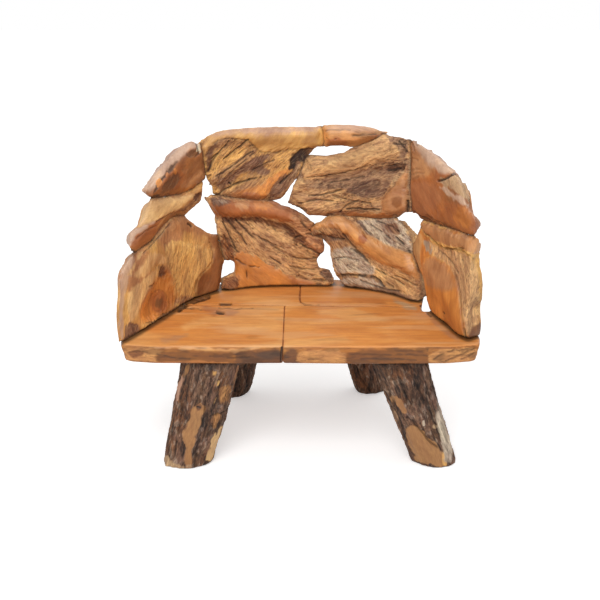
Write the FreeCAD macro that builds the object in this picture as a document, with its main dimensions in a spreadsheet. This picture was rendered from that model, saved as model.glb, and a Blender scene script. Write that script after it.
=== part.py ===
# Rustic bench of teak root wood: a thick seat of four boards on four splayed log legs, with a back
# and arms of ten root blocks that nest along one curved wall. Millimetres, +Z up, front at -Y.
# The curved wall is the skilled part of the bench. Each block is drawn on the unrolled wall as an
# outline of shares, then given its thickness, rounded rim and ridges, and bent along the seat's edge.
import FreeCAD, Part
import math
import os

from FreeCAD import Placement, Rotation, Vector

DIMENSIONS = (
    ("seat_width", 1150, "front edge of the seat, corner to corner"),
    ("wall_depth", 650, "front edge to the depth that the guide's shares follow"),
    ("seat_height", 439, "floor to the top of the seat"),
    ("seat_thickness", 62, "thickness of the seat boards"),
    ("seat_inset", 5, "seat edge inside the line of the wall's outer face"),
    ("seat_seam", 0.6, "gap between seat boards"),
    ("front_rounding", 12, "radius along the front edge of the seat"),
    ("wall_height", 590, "seat top to the top of the back"),
    ("wall_thickness", 90, "thickness of the root blocks"),
    ("wall_lean", 5, "backward lean of the back in degrees"),
    ("left_tip", 25, "thickness of the left arm at its front end"),
    ("right_tip", 60, "thickness of the right arm at its front end"),
    ("taper_reach", 320, "length over which an arm thins to its tip"),
    ("tip_draw", 26, "how far the line of that face turns in at the tips"),
    ("tip_reach", 80, "length over which it turns in"),
    ("tip_edge", 16, "least thickness of an arm at its tip"),
    ("crest_draw", 36, "how far an arm's outer face leans in at its top"),
    ("crest_edge", 38, "thickness that an arm keeps at its top"),
    ("crest_start", 180, "height over the seat at which that lean begins"),
    ("crest_rise", 190, "height over which it grows"),
    ("crest_reach", 560, "length of wall from a tip to where that lean has died out"),
    ("crest_fade", 190, "length over which it dies out"),
    ("block_seam", 1.2, "gap between neighbouring root blocks"),
    ("rim_width", 24, "width of a block's rounded rim"),
    ("rim_drop", 18, "how far the rim falls back from the block's face"),
    ("facet_pitch", 58, "spacing of the facets on a block"),
    ("dowel_diameter", 16, "dowels between seat and wall"),
    ("dowel_length", 64, "dowels between seat and wall"),
    ("dowel_clearance", 0.15, "dowel to the wall of its hole"),
    ("dowel_end_clearance", 1, "dowel end to the bottom of its hole"),
    ("seat_key_length", 96, "loose tenons between seat boards, across the seam"),
    ("seat_key_width", 60, "the same, along the seam"),
    ("seat_key_thickness", 14, "the same, up and down"),
    ("block_key_length", 58, "loose tenons between root blocks, across the seam"),
    ("block_key_width", 28, "the same, along the seam"),
    ("block_key_thickness", 12, "the same, through the wall"),
    ("key_clearance", 0.2, "loose tenon to the faces of its mortise"),
    ("tenon_diameter", 56, "round tenons on the legs"),
    ("tenon_length", 76, "whole length of a tenon, along the leg"),
    ("tenon_clearance", 0.2, "tenon to the wall of its mortise"),
    ("tenon_end_clearance", 1.5, "tenon end to the bottom of its mortise"),
    ("tenon_root", 40, "start of the tenon inside the leg"),
    ("front_leg_top", 196, "mean diameter of a front leg at the seat"),
    ("front_leg_foot", 154, "mean diameter of a front leg at the floor"),
    ("rear_leg_top", 136, "mean diameter of a rear leg at the seat"),
    ("rear_leg_foot", 122, "mean diameter of a rear leg at the floor"),
)

os.makedirs("parts", exist_ok=True)
doc = FreeCAD.newDocument("log_bench")
sheet = doc.addObject("Spreadsheet::Sheet", "Sizes")
for row, (alias, value, use) in enumerate(DIMENSIONS, start=1):
    sheet.set(f"A{row}", alias)
    sheet.set(f"B{row}", str(value))
    sheet.set(f"C{row}", use)
    sheet.setAlias(f"B{row}", alias)
doc.recompute()


def size(name):
    return float(sheet.get(name))


# The guide is the middle line of the wall in plan: shares of half the seat's width and of the depth.
GUIDE_SHARES = (
    (-0.978, 0.03), (-0.928, 0.25), (-0.84, 0.53), (-0.70, 0.76), (-0.45, 0.92), (0.0, 0.985),
    (0.45, 0.92), (0.71, 0.76), (0.85, 0.52), (0.93, 0.25), (0.97, 0.03),
)
TAPER_POWER = 1.6
# The edge of a block's outer face is drawn in by the first of these shares of its rim that fits.
DRAFT_SHARES = (0.9, 0.65, 0.4, 0.2)
TOUCH_SHARE = 0.01


class Wall:
    """The strip that the blocks stand in: along and up it in shares, and out of it in millimetres."""

    def __init__(self):
        half = size("seat_width") / 2
        depth = size("wall_depth")
        curve = Part.BSplineCurve()
        curve.interpolate([Vector(x * half, y * depth, 0) for x, y in GUIDE_SHARES])
        self.edge = curve.toShape()
        self.length = self.edge.Length
        self.height = size("wall_height")
        self.lean = math.tan(math.radians(size("wall_lean")))

    def foot(self, along):
        """The guide's point at that share, and the direction out of the bench there."""
        share = min(max(along, 0.0), 1.0)
        parameter = self.edge.getParameterByLength(share * self.length)
        tangent = self.edge.tangentAt(parameter)
        return self.edge.valueAt(parameter), Vector(-tangent.y, tangent.x, 0)

    def place(self, along, up, out):
        point, outward = self.foot(along)
        rise = up * self.height
        back = self.lean * rise * point.y / size("wall_depth")
        return point + outward * out + Vector(0, back, size("seat_height") + rise)

    def inner(self, along):
        """Offset of the inner face, which turns out towards the tip of each arm."""
        tip = size("left_tip") if along < 0.5 else size("right_tip")
        run = min(along, 1 - along) * self.length
        weight = max(0.0, 1 - run / size("taper_reach")) ** TAPER_POWER
        return -size("wall_thickness") / 2 + (size("wall_thickness") - tip) * weight

    def foot_line(self, along):
        """Offset of the line that the seat's edge follows, turned in towards each tip."""
        run = min(along, 1 - along) * self.length
        return size("wall_thickness") / 2 - size("tip_draw") * max(0.0, 1 - run / size("tip_reach"))

    def outer(self, along, up):
        """Offset of the outer face, which follows that line and leans in at the top of each arm."""
        run = min(along, 1 - along) * self.length
        inner = self.inner(along)
        face = max(self.foot_line(along), inner + size("tip_edge"))
        risen = (up * self.height - size("crest_start")) / size("crest_rise")
        near = (size("crest_reach") - run) / size("crest_fade")
        lean = size("crest_draw") * min(max(risen, 0.0), 1.0) * min(max(near, 0.0), 1.0)
        return max(face - lean, min(face, inner + size("crest_edge")))

    def middle(self, along, up):
        return (self.inner(along) + self.outer(along, up)) / 2


wall = Wall()

# Seams that two blocks share: a share of the wall's length, then a share of its height.
LEFT_ARM_LOW_SHARES = [(0.055, 0.465), (0.115, 0.48), (0.14, 0.53), (0.19, 0.56), (0.235, 0.53)]
LEFT_ARM_HIGH_SHARES = [
    (0.118, 0.722), (0.171, 0.69), (0.219, 0.67), (0.261, 0.67), (0.287, 0.70), (0.299, 0.71),
]
LEFT_CORNER_SHARES = [(0.299, 0.745), (0.297, 0.80), (0.293, 0.87), (0.289, 0.922)]
LEFT_FOOT_SHARES = [(0.326, 0.355), (0.333, 0.25), (0.338, 0.19)]
BACK_LEFT_SHARES = [(0.318, 0.605), (0.345, 0.585), (0.401, 0.55), (0.438, 0.54)]
BACK_UPPER_SHARES = [(0.512, 0.81), (0.497, 0.705)]
BACK_LOWER_SHARES = [(0.528, 0.385), (0.519, 0.362), (0.52, 0.318), (0.544, 0.30)]
BACK_RIGHT_SHARES = [(0.557, 0.447), (0.612, 0.45), (0.655, 0.45), (0.70, 0.475)]
RAIL_BUTT_SHARES = [(0.541, 0.991), (0.546, 0.875)]
RAIL_UNDER_SHARES = [(0.612, 0.882), (0.643, 0.918), (0.668, 0.966)]
RIGHT_CORNER_SHARES = [(0.731, 0.957), (0.737, 0.84), (0.739, 0.70), (0.743, 0.535)]
RIGHT_FOOT_SHARES = [(0.749, 0.335), (0.752, 0.28), (0.768, 0.21)]
RIGHT_ARM_SHARES = [(0.775, 0.512), (0.853, 0.54), (0.92, 0.572), (0.985, 0.598)]

# Outlines run against the clock as seen from inside the bench. A block that stands on the seat has
# its lowest points at height zero.
BLOCK_SHARES = {
    "arm_left_lower": (
        [(0.0, 0.0), (0.325, 0.0), (0.332, 0.09)] + LEFT_FOOT_SHARES[::-1]
        + [(0.302, 0.385), (0.279, 0.44)] + LEFT_ARM_LOW_SHARES[::-1] + [(0.035, 0.43), (0.01, 0.375)]
        + [(0.0, 0.25)]
    ),
    "arm_left_middle": (
        LEFT_ARM_LOW_SHARES + [(0.266, 0.56), (0.290, 0.585), (0.294, 0.64)]
        + LEFT_ARM_HIGH_SHARES[::-1] + [(0.09, 0.635), (0.05, 0.585), (0.042, 0.505)]
    ),
    "arm_left_upper": (
        LEFT_ARM_HIGH_SHARES + LEFT_CORNER_SHARES
        + [(0.266, 0.96), (0.25, 0.952), (0.19, 0.90), (0.126, 0.825), (0.098, 0.775)]
    ),
    "back_upper_left": (
        BACK_LEFT_SHARES + [(0.463, 0.55), (0.478, 0.62)] + BACK_UPPER_SHARES[::-1]
        + [(0.528, 0.865)] + RAIL_BUTT_SHARES[::-1]
        + [(0.50, 0.994), (0.441, 0.992), (0.383, 0.993), (0.33, 0.986), (0.306, 0.955)]
        + LEFT_CORNER_SHARES[::-1] + [(0.311, 0.68)]
    ),
    "top_rail_right": (
        RAIL_BUTT_SHARES[::-1][:1] + [(0.58, 0.88)] + RAIL_UNDER_SHARES
        + [(0.649, 0.998), (0.619, 1.007), (0.59, 1.011), (0.553, 1.004)] + RAIL_BUTT_SHARES[:1]
    ),
    "back_upper_right": (
        BACK_RIGHT_SHARES + [(0.718, 0.505)] + RIGHT_CORNER_SHARES[::-1] + [(0.70, 0.966)]
        + RAIL_UNDER_SHARES[::-1] + [(0.585, 0.845), (0.55, 0.82), (0.52, 0.82)]
        + BACK_UPPER_SHARES + [(0.484, 0.61), (0.474, 0.525), (0.50, 0.485), (0.515, 0.44)]
    ),
    "back_lower_left": (
        [(0.332, 0.0), (0.567, 0.0), (0.568, 0.04), (0.558, 0.10), (0.537, 0.11), (0.533, 0.16)]
        + [(0.548, 0.22)] + BACK_LOWER_SHARES[::-1] + [(0.503, 0.455), (0.469, 0.505)]
        + BACK_LEFT_SHARES[::-1] + [(0.304, 0.605), (0.304, 0.56), (0.322, 0.47)]
        + LEFT_FOOT_SHARES + [(0.362, 0.165), (0.362, 0.10), (0.337, 0.075)]
    ),
    "back_lower_right": (
        [(0.589, 0.0), (0.774, 0.0), (0.776, 0.12)] + RIGHT_FOOT_SHARES[::-1] + [(0.718, 0.435)]
        + BACK_RIGHT_SHARES[::-1] + BACK_LOWER_SHARES + [(0.557, 0.25), (0.561, 0.14), (0.572, 0.06)]
    ),
    "arm_right_upper": (
        RIGHT_ARM_SHARES + [(0.99, 0.655), (0.985, 0.70), (0.968, 0.725), (0.949, 0.74)]
        + [(0.94, 0.79), (0.93, 0.84), (0.905, 0.868), (0.865, 0.893), (0.828, 0.915), (0.784, 0.938)]
        + [(0.76, 0.953)] + RIGHT_CORNER_SHARES
    ),
    "arm_right_lower": (
        [(0.82, 0.0), (0.98, 0.0), (0.972, 0.15), (0.98, 0.28), (0.98, 0.40)]
        + RIGHT_ARM_SHARES[::-1] + RIGHT_FOOT_SHARES + [(0.79, 0.15), (0.802, 0.08)]
    ),
}

# Ridges that stand out of a block's face: their line, then height and half width as shares of the
# block's thickness. A negative height is a hollow.
RIDGE_SHARES = {
    "arm_left_lower": (
        ([(0.178, 0.37), (0.24, 0.31), (0.275, 0.19)], 0.10, 0.6),
        ([(0.124, 0.275), (0.132, 0.17), (0.09, 0.10)], -0.16, 0.65),
    ),
    "arm_left_upper": (([(0.12, 0.80), (0.19, 0.84), (0.26, 0.88)], 0.14, 1.0),),
    "arm_left_middle": (([(0.06, 0.60), (0.14, 0.63), (0.22, 0.61)], 0.12, 0.8),),
    "back_upper_left": (
        ([(0.32, 0.96), (0.41, 0.955), (0.52, 0.965)], 0.14, 0.5),
        ([(0.31, 0.76), (0.38, 0.87), (0.50, 0.84)], -0.10, 0.4),
        ([(0.32, 0.69), (0.41, 0.82)], 0.08, 0.4),
        ([(0.325, 0.62), (0.366, 0.684), (0.45, 0.745)], -0.12, 0.4),
    ),
    "top_rail_right": (([(0.56, 0.945), (0.60, 0.955), (0.64, 0.965)], 0.12, 0.7),),
    "back_upper_right": (
        ([(0.53, 0.755), (0.61, 0.80), (0.70, 0.89)], 0.12, 0.45),
        ([(0.53, 0.66), (0.61, 0.705), (0.71, 0.80)], -0.13, 0.45),
        ([(0.724, 0.75), (0.70, 0.66), (0.69, 0.57)], 0.14, 0.45),
    ),
    "back_lower_left": (
        ([(0.33, 0.55), (0.41, 0.50), (0.49, 0.44)], 0.14, 0.5),
        ([(0.335, 0.44), (0.40, 0.425), (0.48, 0.36)], -0.10, 0.4),
        ([(0.37, 0.34), (0.44, 0.26), (0.51, 0.16)], -0.10, 0.8),
    ),
    "back_lower_right": (
        ([(0.545, 0.395), (0.60, 0.365), (0.645, 0.29), (0.77, 0.18)], 0.14, 0.5),
        ([(0.62, 0.43), (0.70, 0.33)], -0.08, 0.35),
        ([(0.575, 0.31), (0.617, 0.235), (0.70, 0.13)], -0.10, 0.4),
    ),
    "arm_right_upper": (([(0.78, 0.74), (0.84, 0.76), (0.90, 0.74)], 0.12, 1.0),),
    "arm_right_lower": (
        ([(0.812, 0.28), (0.87, 0.22), (0.945, 0.12)], 0.12, 0.5),
        ([(0.84, 0.41), (0.96, 0.24)], -0.10, 0.45),
    ),
}

# Loose tenons across the seams of the wall: share along, share up, and slope on the unrolled wall.
BLOCK_KEY_SHARES = (
    (0.19, 0.56, 90), (0.085, 0.472, 90), (0.24, 0.67, 90), (0.143, 0.705, 90), (0.2945, 0.84, 0),
    (0.5435, 0.932, 0), (0.643, 0.915, 110), (0.5045, 0.757, -24), (0.375, 0.567, 90),
    (0.635, 0.45, 90), (0.7375, 0.86, 0), (0.741, 0.61, 0), (0.87, 0.549, 90),
    (0.7515, 0.29, 0), (0.3315, 0.27, 0),
)
FOOT_DOWEL_SHARES = (0.11, 0.26, 0.39, 0.47, 0.62, 0.74, 0.85, 0.93)


def on_plane(share):
    return Vector(share[0] * wall.length, share[1] * wall.height, 0)


def inset(points, distance):
    """The outline drawn in by the distance, except where it stands on the seat."""
    moved = []
    count = len(points)
    for index, point in enumerate(points):
        before = (point - points[index - 1]).normalize()
        after = (points[(index + 1) % count] - point).normalize()
        inward = Vector(-before.y - after.y, before.x + after.x, 0)
        half_square = inward.Length ** 2 / 2
        shift = inward * (distance / half_square)
        if point.y == 0:
            shift.y = 0
        moved.append(point + shift)
    return moved


def distance_to(point, start, end):
    run = end - start
    share = (point - start).dot(run) / run.dot(run)
    return point.distanceToPoint(start + run * min(max(share, 0.0), 1.0))


def rim_distance(point, outline):
    """Distance to the nearest edge of the outline that doesn't stand on the seat."""
    pairs = zip(outline, outline[1:] + outline[:1])
    return min(distance_to(point, a, b) for a, b in pairs if a.y > 0 or b.y > 0)


def drawn_in(point, outline, rim):
    """The point moved in from the nearest edges, by less where the block is too narrow."""
    reach = rim_distance(point, outline) + TOUCH_SHARE * rim
    inward = Vector(0, 0, 0)
    for a, b in zip(outline, outline[1:] + outline[:1]):
        if (a.y > 0 or b.y > 0) and distance_to(point, a, b) <= reach:
            inward += Vector(a.y - b.y, b.x - a.x, 0).normalize()
    if point.y == 0:
        inward.y = 0
    for share in DRAFT_SHARES:
        moved = point + inward * (rim * share)
        if rim_distance(moved, outline) >= rim * share / 2:
            return moved
    return point


def ridge_rise(point, ridges):
    rise = 0.0
    for line, height_share, width_share in ridges:
        points = [on_plane(share) for share in line]
        nearest = min(distance_to(point, a, b) for a, b in zip(points, points[1:]))
        width = width_share * size("wall_thickness")
        rise += height_share * size("wall_thickness") * max(0.0, 1 - (nearest / width) ** 2)
    return rise


def facet_lines(outline, ridges):
    """Lines on the unrolled wall along which a block's face is broken into facets."""
    face = Part.Face(Part.makePolygon(outline + outline[:1]))
    box = face.BoundBox
    pitch = size("facet_pitch")
    rim = inset(outline, size("rim_width"))
    lines = [Part.makeLine(a, b) for a, b in zip(rim, rim[1:] + rim[:1])]
    for step in range(math.floor(box.XMin / pitch) + 1, math.ceil(box.XMax / pitch)):
        lines.append(Part.makeLine((step * pitch, box.YMin, 0), (step * pitch, box.YMax, 0)))
    for step in range(math.floor(box.YMin / pitch) + 1, math.ceil(box.YMax / pitch)):
        lines.append(Part.makeLine((box.XMin, step * pitch, 0), (box.XMax, step * pitch, 0)))
    for line, _, _ in ridges:
        points = [on_plane(share) for share in line]
        lines += [Part.makeLine(a, b) for a, b in zip(points, points[1:])]
    return face, lines


def facets(outline, ridges):
    """Corners and triangles of the flat outline, all turning the same way."""
    face, lines = facet_lines(outline, ridges)
    split = face.generalFuse(lines)[0]
    corners = []
    found = {}
    triangles = []
    for cell in split.Faces:
        points, cell_triangles = cell.tessellate(size("rim_width"))
        numbers = []
        for point in points:
            key = (round(point.x, 3), round(point.y, 3))
            if key not in found:
                found[key] = len(corners)
                corners.append(point)
            numbers.append(found[key])
        for triangle in cell_triangles:
            a, b, c = (numbers[i] for i in triangle)
            turn = (corners[b] - corners[a]).cross(corners[c] - corners[a]).z
            triangles.append((a, b, c) if turn > 0 else (a, c, b))
    return corners, triangles


def triangle_face(a, b, c):
    return Part.Face(Part.makePolygon([a, b, c, a]))


def closed_solid(triangles):
    shell = Part.makeShell([triangle_face(*corners) for corners in triangles])
    shell.sewShape()
    solid = Part.makeSolid(shell)
    if solid.Volume < 0:
        solid.reverse()
    return solid


def block_shape(name):
    """A root block: its faceted face and back, bent along the wall, and the rim between them."""
    shares = BLOCK_SHARES[name]
    ridges = RIDGE_SHARES[name]
    outline = inset([on_plane(share) for share in shares], size("block_seam") / 2)
    corners, triangles = facets(outline, ridges)
    front = []
    back = []
    for corner in corners:
        along = corner.x / wall.length
        up = corner.y / wall.height
        nearness = max(0.0, 1 - rim_distance(corner, outline) / size("rim_width"))
        drop = size("rim_drop") * nearness ** 2
        thickness = wall.outer(along, up) - wall.inner(along)
        drop *= thickness / size("wall_thickness")
        rise = ridge_rise(corner, ridges) * (1 - nearness)
        front.append(wall.place(along, up, wall.inner(along) + drop - rise))
        behind = drawn_in(corner, outline, size("rim_width") * nearness)
        along = behind.x / wall.length
        up = behind.y / wall.height
        back.append(wall.place(along, up, wall.outer(along, up) - drop))
    skin = [(front[a], front[b], front[c]) for a, b, c in triangles]
    skin += [(back[a], back[c], back[b]) for a, b, c in triangles]
    edges = {(a, b) for t in triangles for a, b in ((t[0], t[1]), (t[1], t[2]), (t[2], t[0]))}
    for a, b in sorted(edges):
        if (b, a) not in edges:
            skin.append((front[a], back[a], front[b]))
            skin.append((front[b], back[a], back[b]))
    return closed_solid(skin)


class Pin:
    """A dowel or a tenon: the middle of its length, its direction, and the names of its sizes."""

    def __init__(self, middle, direction, diameter, length, clearance, end_clearance):
        self.direction = direction
        self.base = middle - direction * (size(length) / 2)
        self.diameter = diameter
        self.length = length
        self.clearance = clearance
        self.end_clearance = end_clearance

    def piece(self, name):
        cylinder = doc.addObject("Part::Cylinder", name)
        cylinder.setExpression("Radius", f"Sizes.{self.diameter} / 2")
        cylinder.setExpression("Height", f"Sizes.{self.length}")
        cylinder.Placement = Placement(self.base, Rotation(Vector(0, 0, 1), self.direction))
        return cylinder

    def hole_base(self):
        return self.base - self.direction * size(self.end_clearance)

    def hole(self):
        radius = size(self.diameter) / 2 + size(self.clearance)
        length = size(self.length) + 2 * size(self.end_clearance)
        return Part.makeCylinder(radius, length, self.hole_base(), self.direction)

    def sink(self, body, name):
        """The blind hole as a feature of a board."""
        hole = body.newObject("PartDesign::SubtractiveCylinder", name)
        hole.setExpression("Radius", f"Sizes.{self.diameter} / 2 + Sizes.{self.clearance}")
        hole.setExpression("Height", f"Sizes.{self.length} + 2 * Sizes.{self.end_clearance}")
        base = self.hole_base() - UNDERSIDE
        hole.Placement = Placement(base, Rotation(Vector(0, 0, 1), self.direction))
        return hole


class Key:
    """A loose tenon, a flat tongue across a seam: its middle and the ways it is long and wide."""

    def __init__(self, middle, long_way, wide_way, family):
        self.long_way = long_way
        self.wide_way = wide_way
        self.thick_way = long_way.cross(wide_way)
        self.rotation = Rotation(long_way, wide_way, self.thick_way, "XYZ")
        self.sides = [f"{family}_length", f"{family}_width", f"{family}_thickness"]
        self.middle = middle

    def corner(self, spare):
        """The lowest corner of the tongue, or of its mortise with the clearance to spare."""
        corner = self.middle
        for way, side in zip((self.long_way, self.wide_way, self.thick_way), self.sides):
            corner = corner - way * (size(side) / 2 + spare)
        return corner

    def piece(self, name):
        block = doc.addObject("Part::Box", name)
        for axis, side in zip(BOX_AXES, self.sides):
            block.setExpression(axis, f"Sizes.{side}")
        block.Placement = Placement(self.corner(0), self.rotation)
        return block

    def hole(self):
        spare = size("key_clearance")
        block = Part.makeBox(*(size(side) + 2 * spare for side in self.sides))
        block.Placement = Placement(self.corner(spare), self.rotation)
        return block

    def sink(self, body, name):
        """The mortise as a feature of a board."""
        mortise = body.newObject("PartDesign::SubtractiveBox", name)
        for axis, side in zip(BOX_AXES, self.sides):
            mortise.setExpression(axis, f"Sizes.{side} + 2 * Sizes.key_clearance")
        mortise.Placement = Placement(self.corner(size("key_clearance")) - UNDERSIDE, self.rotation)
        return mortise


BOX_AXES = ("Length", "Width", "Height")
UNDERSIDE = Vector(0, 0, size("seat_height") - size("seat_thickness"))


def block_keys():
    keys = []
    for along, up, slope in BLOCK_KEY_SHARES:
        run = math.cos(math.radians(slope)) * size("block_key_length") / wall.length / 2
        rise = math.sin(math.radians(slope)) * size("block_key_length") / wall.height / 2
        out = wall.middle(along, up)
        start = wall.place(along - run, up - rise, out)
        end = wall.place(along + run, up + rise, out)
        long_way = (end - start).normalize()
        wide_way = long_way.cross(wall.foot(along)[1]).normalize()
        keys.append(Key((start + end) / 2, long_way, wide_way, "block_key"))
    return keys


def foot_dowels():
    pins = []
    for along in FOOT_DOWEL_SHARES:
        middle = wall.place(along, 0, wall.middle(along, 0))
        sizes = ("dowel_diameter", "dowel_length", "dowel_clearance", "dowel_end_clearance")
        pins.append(Pin(middle, Vector(0, 0, 1), *sizes))
    return pins


# Seams of the seat in plan, in shares of half the seat's width and of the wall's depth.
FRONT_EDGE_SHARES = [(-0.82, 0.008), (-0.40, 0.004), (-0.101, 0.008), (0.30, 0.0), (0.82, 0.005)]
CROSS_SEAM_SHARES = [(-0.60, 0.597), (-0.101, 0.592), (0.028, 0.588), (0.50, 0.580)]
REAR_SEAM_SHARES = [(0.028, 0.588), (-0.004, 0.655)]
CROSS_LEFT_SHARE = 0.20
CROSS_RIGHT_SHARE = 0.80
REAR_SHARE = 0.499
# The notch in the seat's edge where the cross seam runs out on the right, between two blocks.
NOTCH_SHARES = (0.787, 0.812)
# Loose tenons across those seams: place in plan, and the turn of their length in degrees.
SEAT_KEY_SHARES = (
    (-0.101, 0.16, 0), (-0.101, 0.42, 0), (-0.42, 0.595, 90), (0.28, 0.584, 90), (-0.004, 0.83, 0),
)


def in_plan(share):
    return Vector(share[0] * size("seat_width") / 2, share[1] * size("wall_depth"), 0)


def seat_edge(along):
    point, outward = wall.foot(along)
    return point + outward * (wall.foot_line(along) - size("seat_inset"))


def notch_corner(along):
    point, outward = wall.foot(along)
    return point + outward * wall.inner(along)


def seat_outlines():
    """Each board as a chain of corner points, then the two shares between which its edge is curved."""
    half_seam = size("seat_seam") / 2
    across = Vector(half_seam, 0, 0)
    along = Vector(0, half_seam, 0)
    front = [in_plan(share) for share in FRONT_EDGE_SHARES]
    cross = [in_plan(share) for share in CROSS_SEAM_SHARES]
    rear = [in_plan(share) for share in REAR_SEAM_SHARES]
    left_end = seat_edge(CROSS_LEFT_SHARE)
    right_end = notch_corner(CROSS_RIGHT_SHARE)
    rear_end = seat_edge(REAR_SHARE)
    return {
        "seat_board_front_left": (
            front[:2] + [front[2] - across, cross[1] - across - along, cross[0] - along],
            CROSS_LEFT_SHARE, 0.0, left_end - along, seat_edge(0.0),
        ),
        "seat_board_front_right": (
            [notch_corner(NOTCH_SHARES[1]), right_end - along, cross[3] - along, cross[2] - along]
            + [cross[1] + across - along, front[2] + across] + front[3:],
            1.0, NOTCH_SHARES[1], seat_edge(1.0), seat_edge(NOTCH_SHARES[1]),
        ),
        "seat_board_rear_left": (
            [cross[0] + along, cross[1] + along, rear[0] + along - across, rear[1] - across],
            REAR_SHARE, CROSS_LEFT_SHARE, rear_end - across, left_end + along,
        ),
        "seat_board_rear_right": (
            [rear[1] + across, rear[0] + along + across, cross[3] + along, right_end + along]
            + [notch_corner(NOTCH_SHARES[0])],
            NOTCH_SHARES[0], REAR_SHARE, seat_edge(NOTCH_SHARES[0]), rear_end + across,
        ),
    }


def plane_of(body, role):
    return next(item for item in body.Origin.OriginFeatures if item.Role == role)


CURVE_STEP_SHARE = 0.05


def board_lines(chain, start_share, end_share, start, end):
    """A board's outline: one smooth curve along the wall, closed by straight lines."""
    curve = Part.BSplineCurve()
    steps = max(3, round(abs(end_share - start_share) / CURVE_STEP_SHARE))
    between = [start_share + (end_share - start_share) * step / steps for step in range(1, steps)]
    curve.interpolate([start] + [seat_edge(share) for share in between] + [end])
    points = [end] + chain + [start]
    return [curve] + [Part.LineSegment(a, b) for a, b in zip(points, points[1:])]


def board_face(*outline):
    return Part.Face(Part.Wire([line.toShape() for line in board_lines(*outline)]))


def board_sketch(body, outline):
    sketch = body.newObject("Sketcher::SketchObject", body.Label + "_outline")
    sketch.AttachmentSupport = (plane_of(body, "XY_Plane"), [""])
    sketch.MapMode = "FlatFace"
    sketch.addGeometry(board_lines(*outline), False)
    return sketch


def build_board(name, outline, pins):
    body = doc.addObject("PartDesign::Body", name)
    body.Label = name
    sketch = board_sketch(body, outline)
    pad = body.newObject("PartDesign::Pad", name + "_board")
    pad.Profile = sketch
    pad.setExpression("Length", "Sizes.seat_thickness")
    doc.recompute()
    rounded = front_edges(pad.Shape)
    if rounded:
        fillet = body.newObject("PartDesign::Fillet", name + "_rounding")
        fillet.Base = (pad, rounded)
        fillet.setExpression("Radius", "Sizes.front_rounding")
        doc.recompute()
    for number, pin in enumerate(pins, start=1):
        body.Tip = pin.sink(body, f"{name}_hole_{number}")
    return body


def front_edges(shape):
    """Names of the long edges, above and below, along the front of the seat."""
    reach = max(seat_edge(0.0).y, seat_edge(1.0).y)
    top = size("seat_thickness")
    names = []
    for number, edge in enumerate(shape.Edges, start=1):
        box = edge.BoundBox
        level = box.ZLength < top / 2
        if level and box.YMax <= reach:
            names.append(f"Edge{number}")
    return names


# Legs: centre at the seat and at the floor in shares of half the seat's width and of the wall's
# depth, then the names of their mean diameters at the seat and at the floor, then the turn in degrees
# that sets where the flutes of the log lie.
LEG_SHARES = {
    "leg_front_left": ((-0.508, 0.142), (-0.675, 0.08), "front_leg_top", "front_leg_foot", 20),
    "leg_front_right": ((0.552, 0.142), (0.785, 0.10), "front_leg_top", "front_leg_foot", 140),
    "leg_rear_left": ((-0.306, 0.862), (-0.455, 0.91), "rear_leg_top", "rear_leg_foot", 250),
    "leg_rear_right": ((0.313, 0.875), (0.478, 0.954), "rear_leg_top", "rear_leg_foot", 310),
}
LEG_DEPTH_SHARE = 0.82
LEG_LEVELS = 7
LEG_CORNERS = 20
# Flutes of a log: waves around it, their share of the radius, and turns from floor to seat.
FLUTE_SHARES = ((2, 0.07, 0.2), (3, 0.05, -0.3), (5, 0.035, 0.15), (10, 0.035, 0.1))


def leg_axis(name):
    top_share, foot_share = LEG_SHARES[name][:2]
    return in_plan(foot_share), in_plan(top_share) + UNDERSIDE


def leg_ring(name, level):
    """The log's outline at a share of the way from floor to seat."""
    foot, top = leg_axis(name)
    top_name, foot_name, turn = LEG_SHARES[name][2:]
    radius = (size(foot_name) + (size(top_name) - size(foot_name)) * level) / 2
    centre = foot + (top - foot) * level
    ring = []
    for corner in range(LEG_CORNERS):
        angle = 2 * math.pi * corner / LEG_CORNERS
        flutes = 1.0
        for waves, share, turns in FLUTE_SHARES:
            flutes += share * math.cos(waves * angle + math.radians(turn) + 2 * math.pi * turns * level)
        across = radius * flutes * math.cos(angle)
        deep = radius * flutes * math.sin(angle) * LEG_DEPTH_SHARE
        ring.append(centre + Vector(across, deep, 0))
    return centre, ring


def tenon(name):
    foot, top = leg_axis(name)
    direction = (top - foot).normalize()
    middle = top + direction * (size("tenon_length") / 2 - size("tenon_root"))
    sizes = ("tenon_diameter", "tenon_length", "tenon_clearance", "tenon_end_clearance")
    return Pin(middle, direction, *sizes)


def leg_shape(name):
    levels = [leg_ring(name, step / (LEG_LEVELS - 1)) for step in range(LEG_LEVELS)]
    skin = []
    for (_, lower), (_, upper) in zip(levels, levels[1:]):
        for index in range(LEG_CORNERS):
            after = (index + 1) % LEG_CORNERS
            skin.append((lower[index], lower[after], upper[index]))
            skin.append((lower[after], upper[after], upper[index]))
    foot, first = levels[0]
    top, last = levels[-1]
    for index in range(LEG_CORNERS):
        after = (index + 1) % LEG_CORNERS
        skin.append((foot, first[after], first[index]))
        skin.append((top, last[index], last[after]))
    pin = tenon(name)
    peg = Part.makeCylinder(size(pin.diameter) / 2, size(pin.length), pin.base, pin.direction)
    return closed_solid(skin).fuse(peg).removeSplitter()


def seat_keys():
    level = Vector(0, 0, size("seat_height") - size("seat_thickness") / 2)
    keys = []
    for x_share, y_share, turn in SEAT_KEY_SHARES:
        long_way = Vector(math.cos(math.radians(turn)), math.sin(math.radians(turn)), 0)
        wide_way = Vector(-long_way.y, long_way.x, 0)
        keys.append(Key(in_plan((x_share, y_share)) + level, long_way, wide_way, "seat_key"))
    return keys


def add_shape(name, shape):
    item = doc.addObject("Part::Feature", name)
    item.Label = name
    item.Shape = shape
    return item


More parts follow.
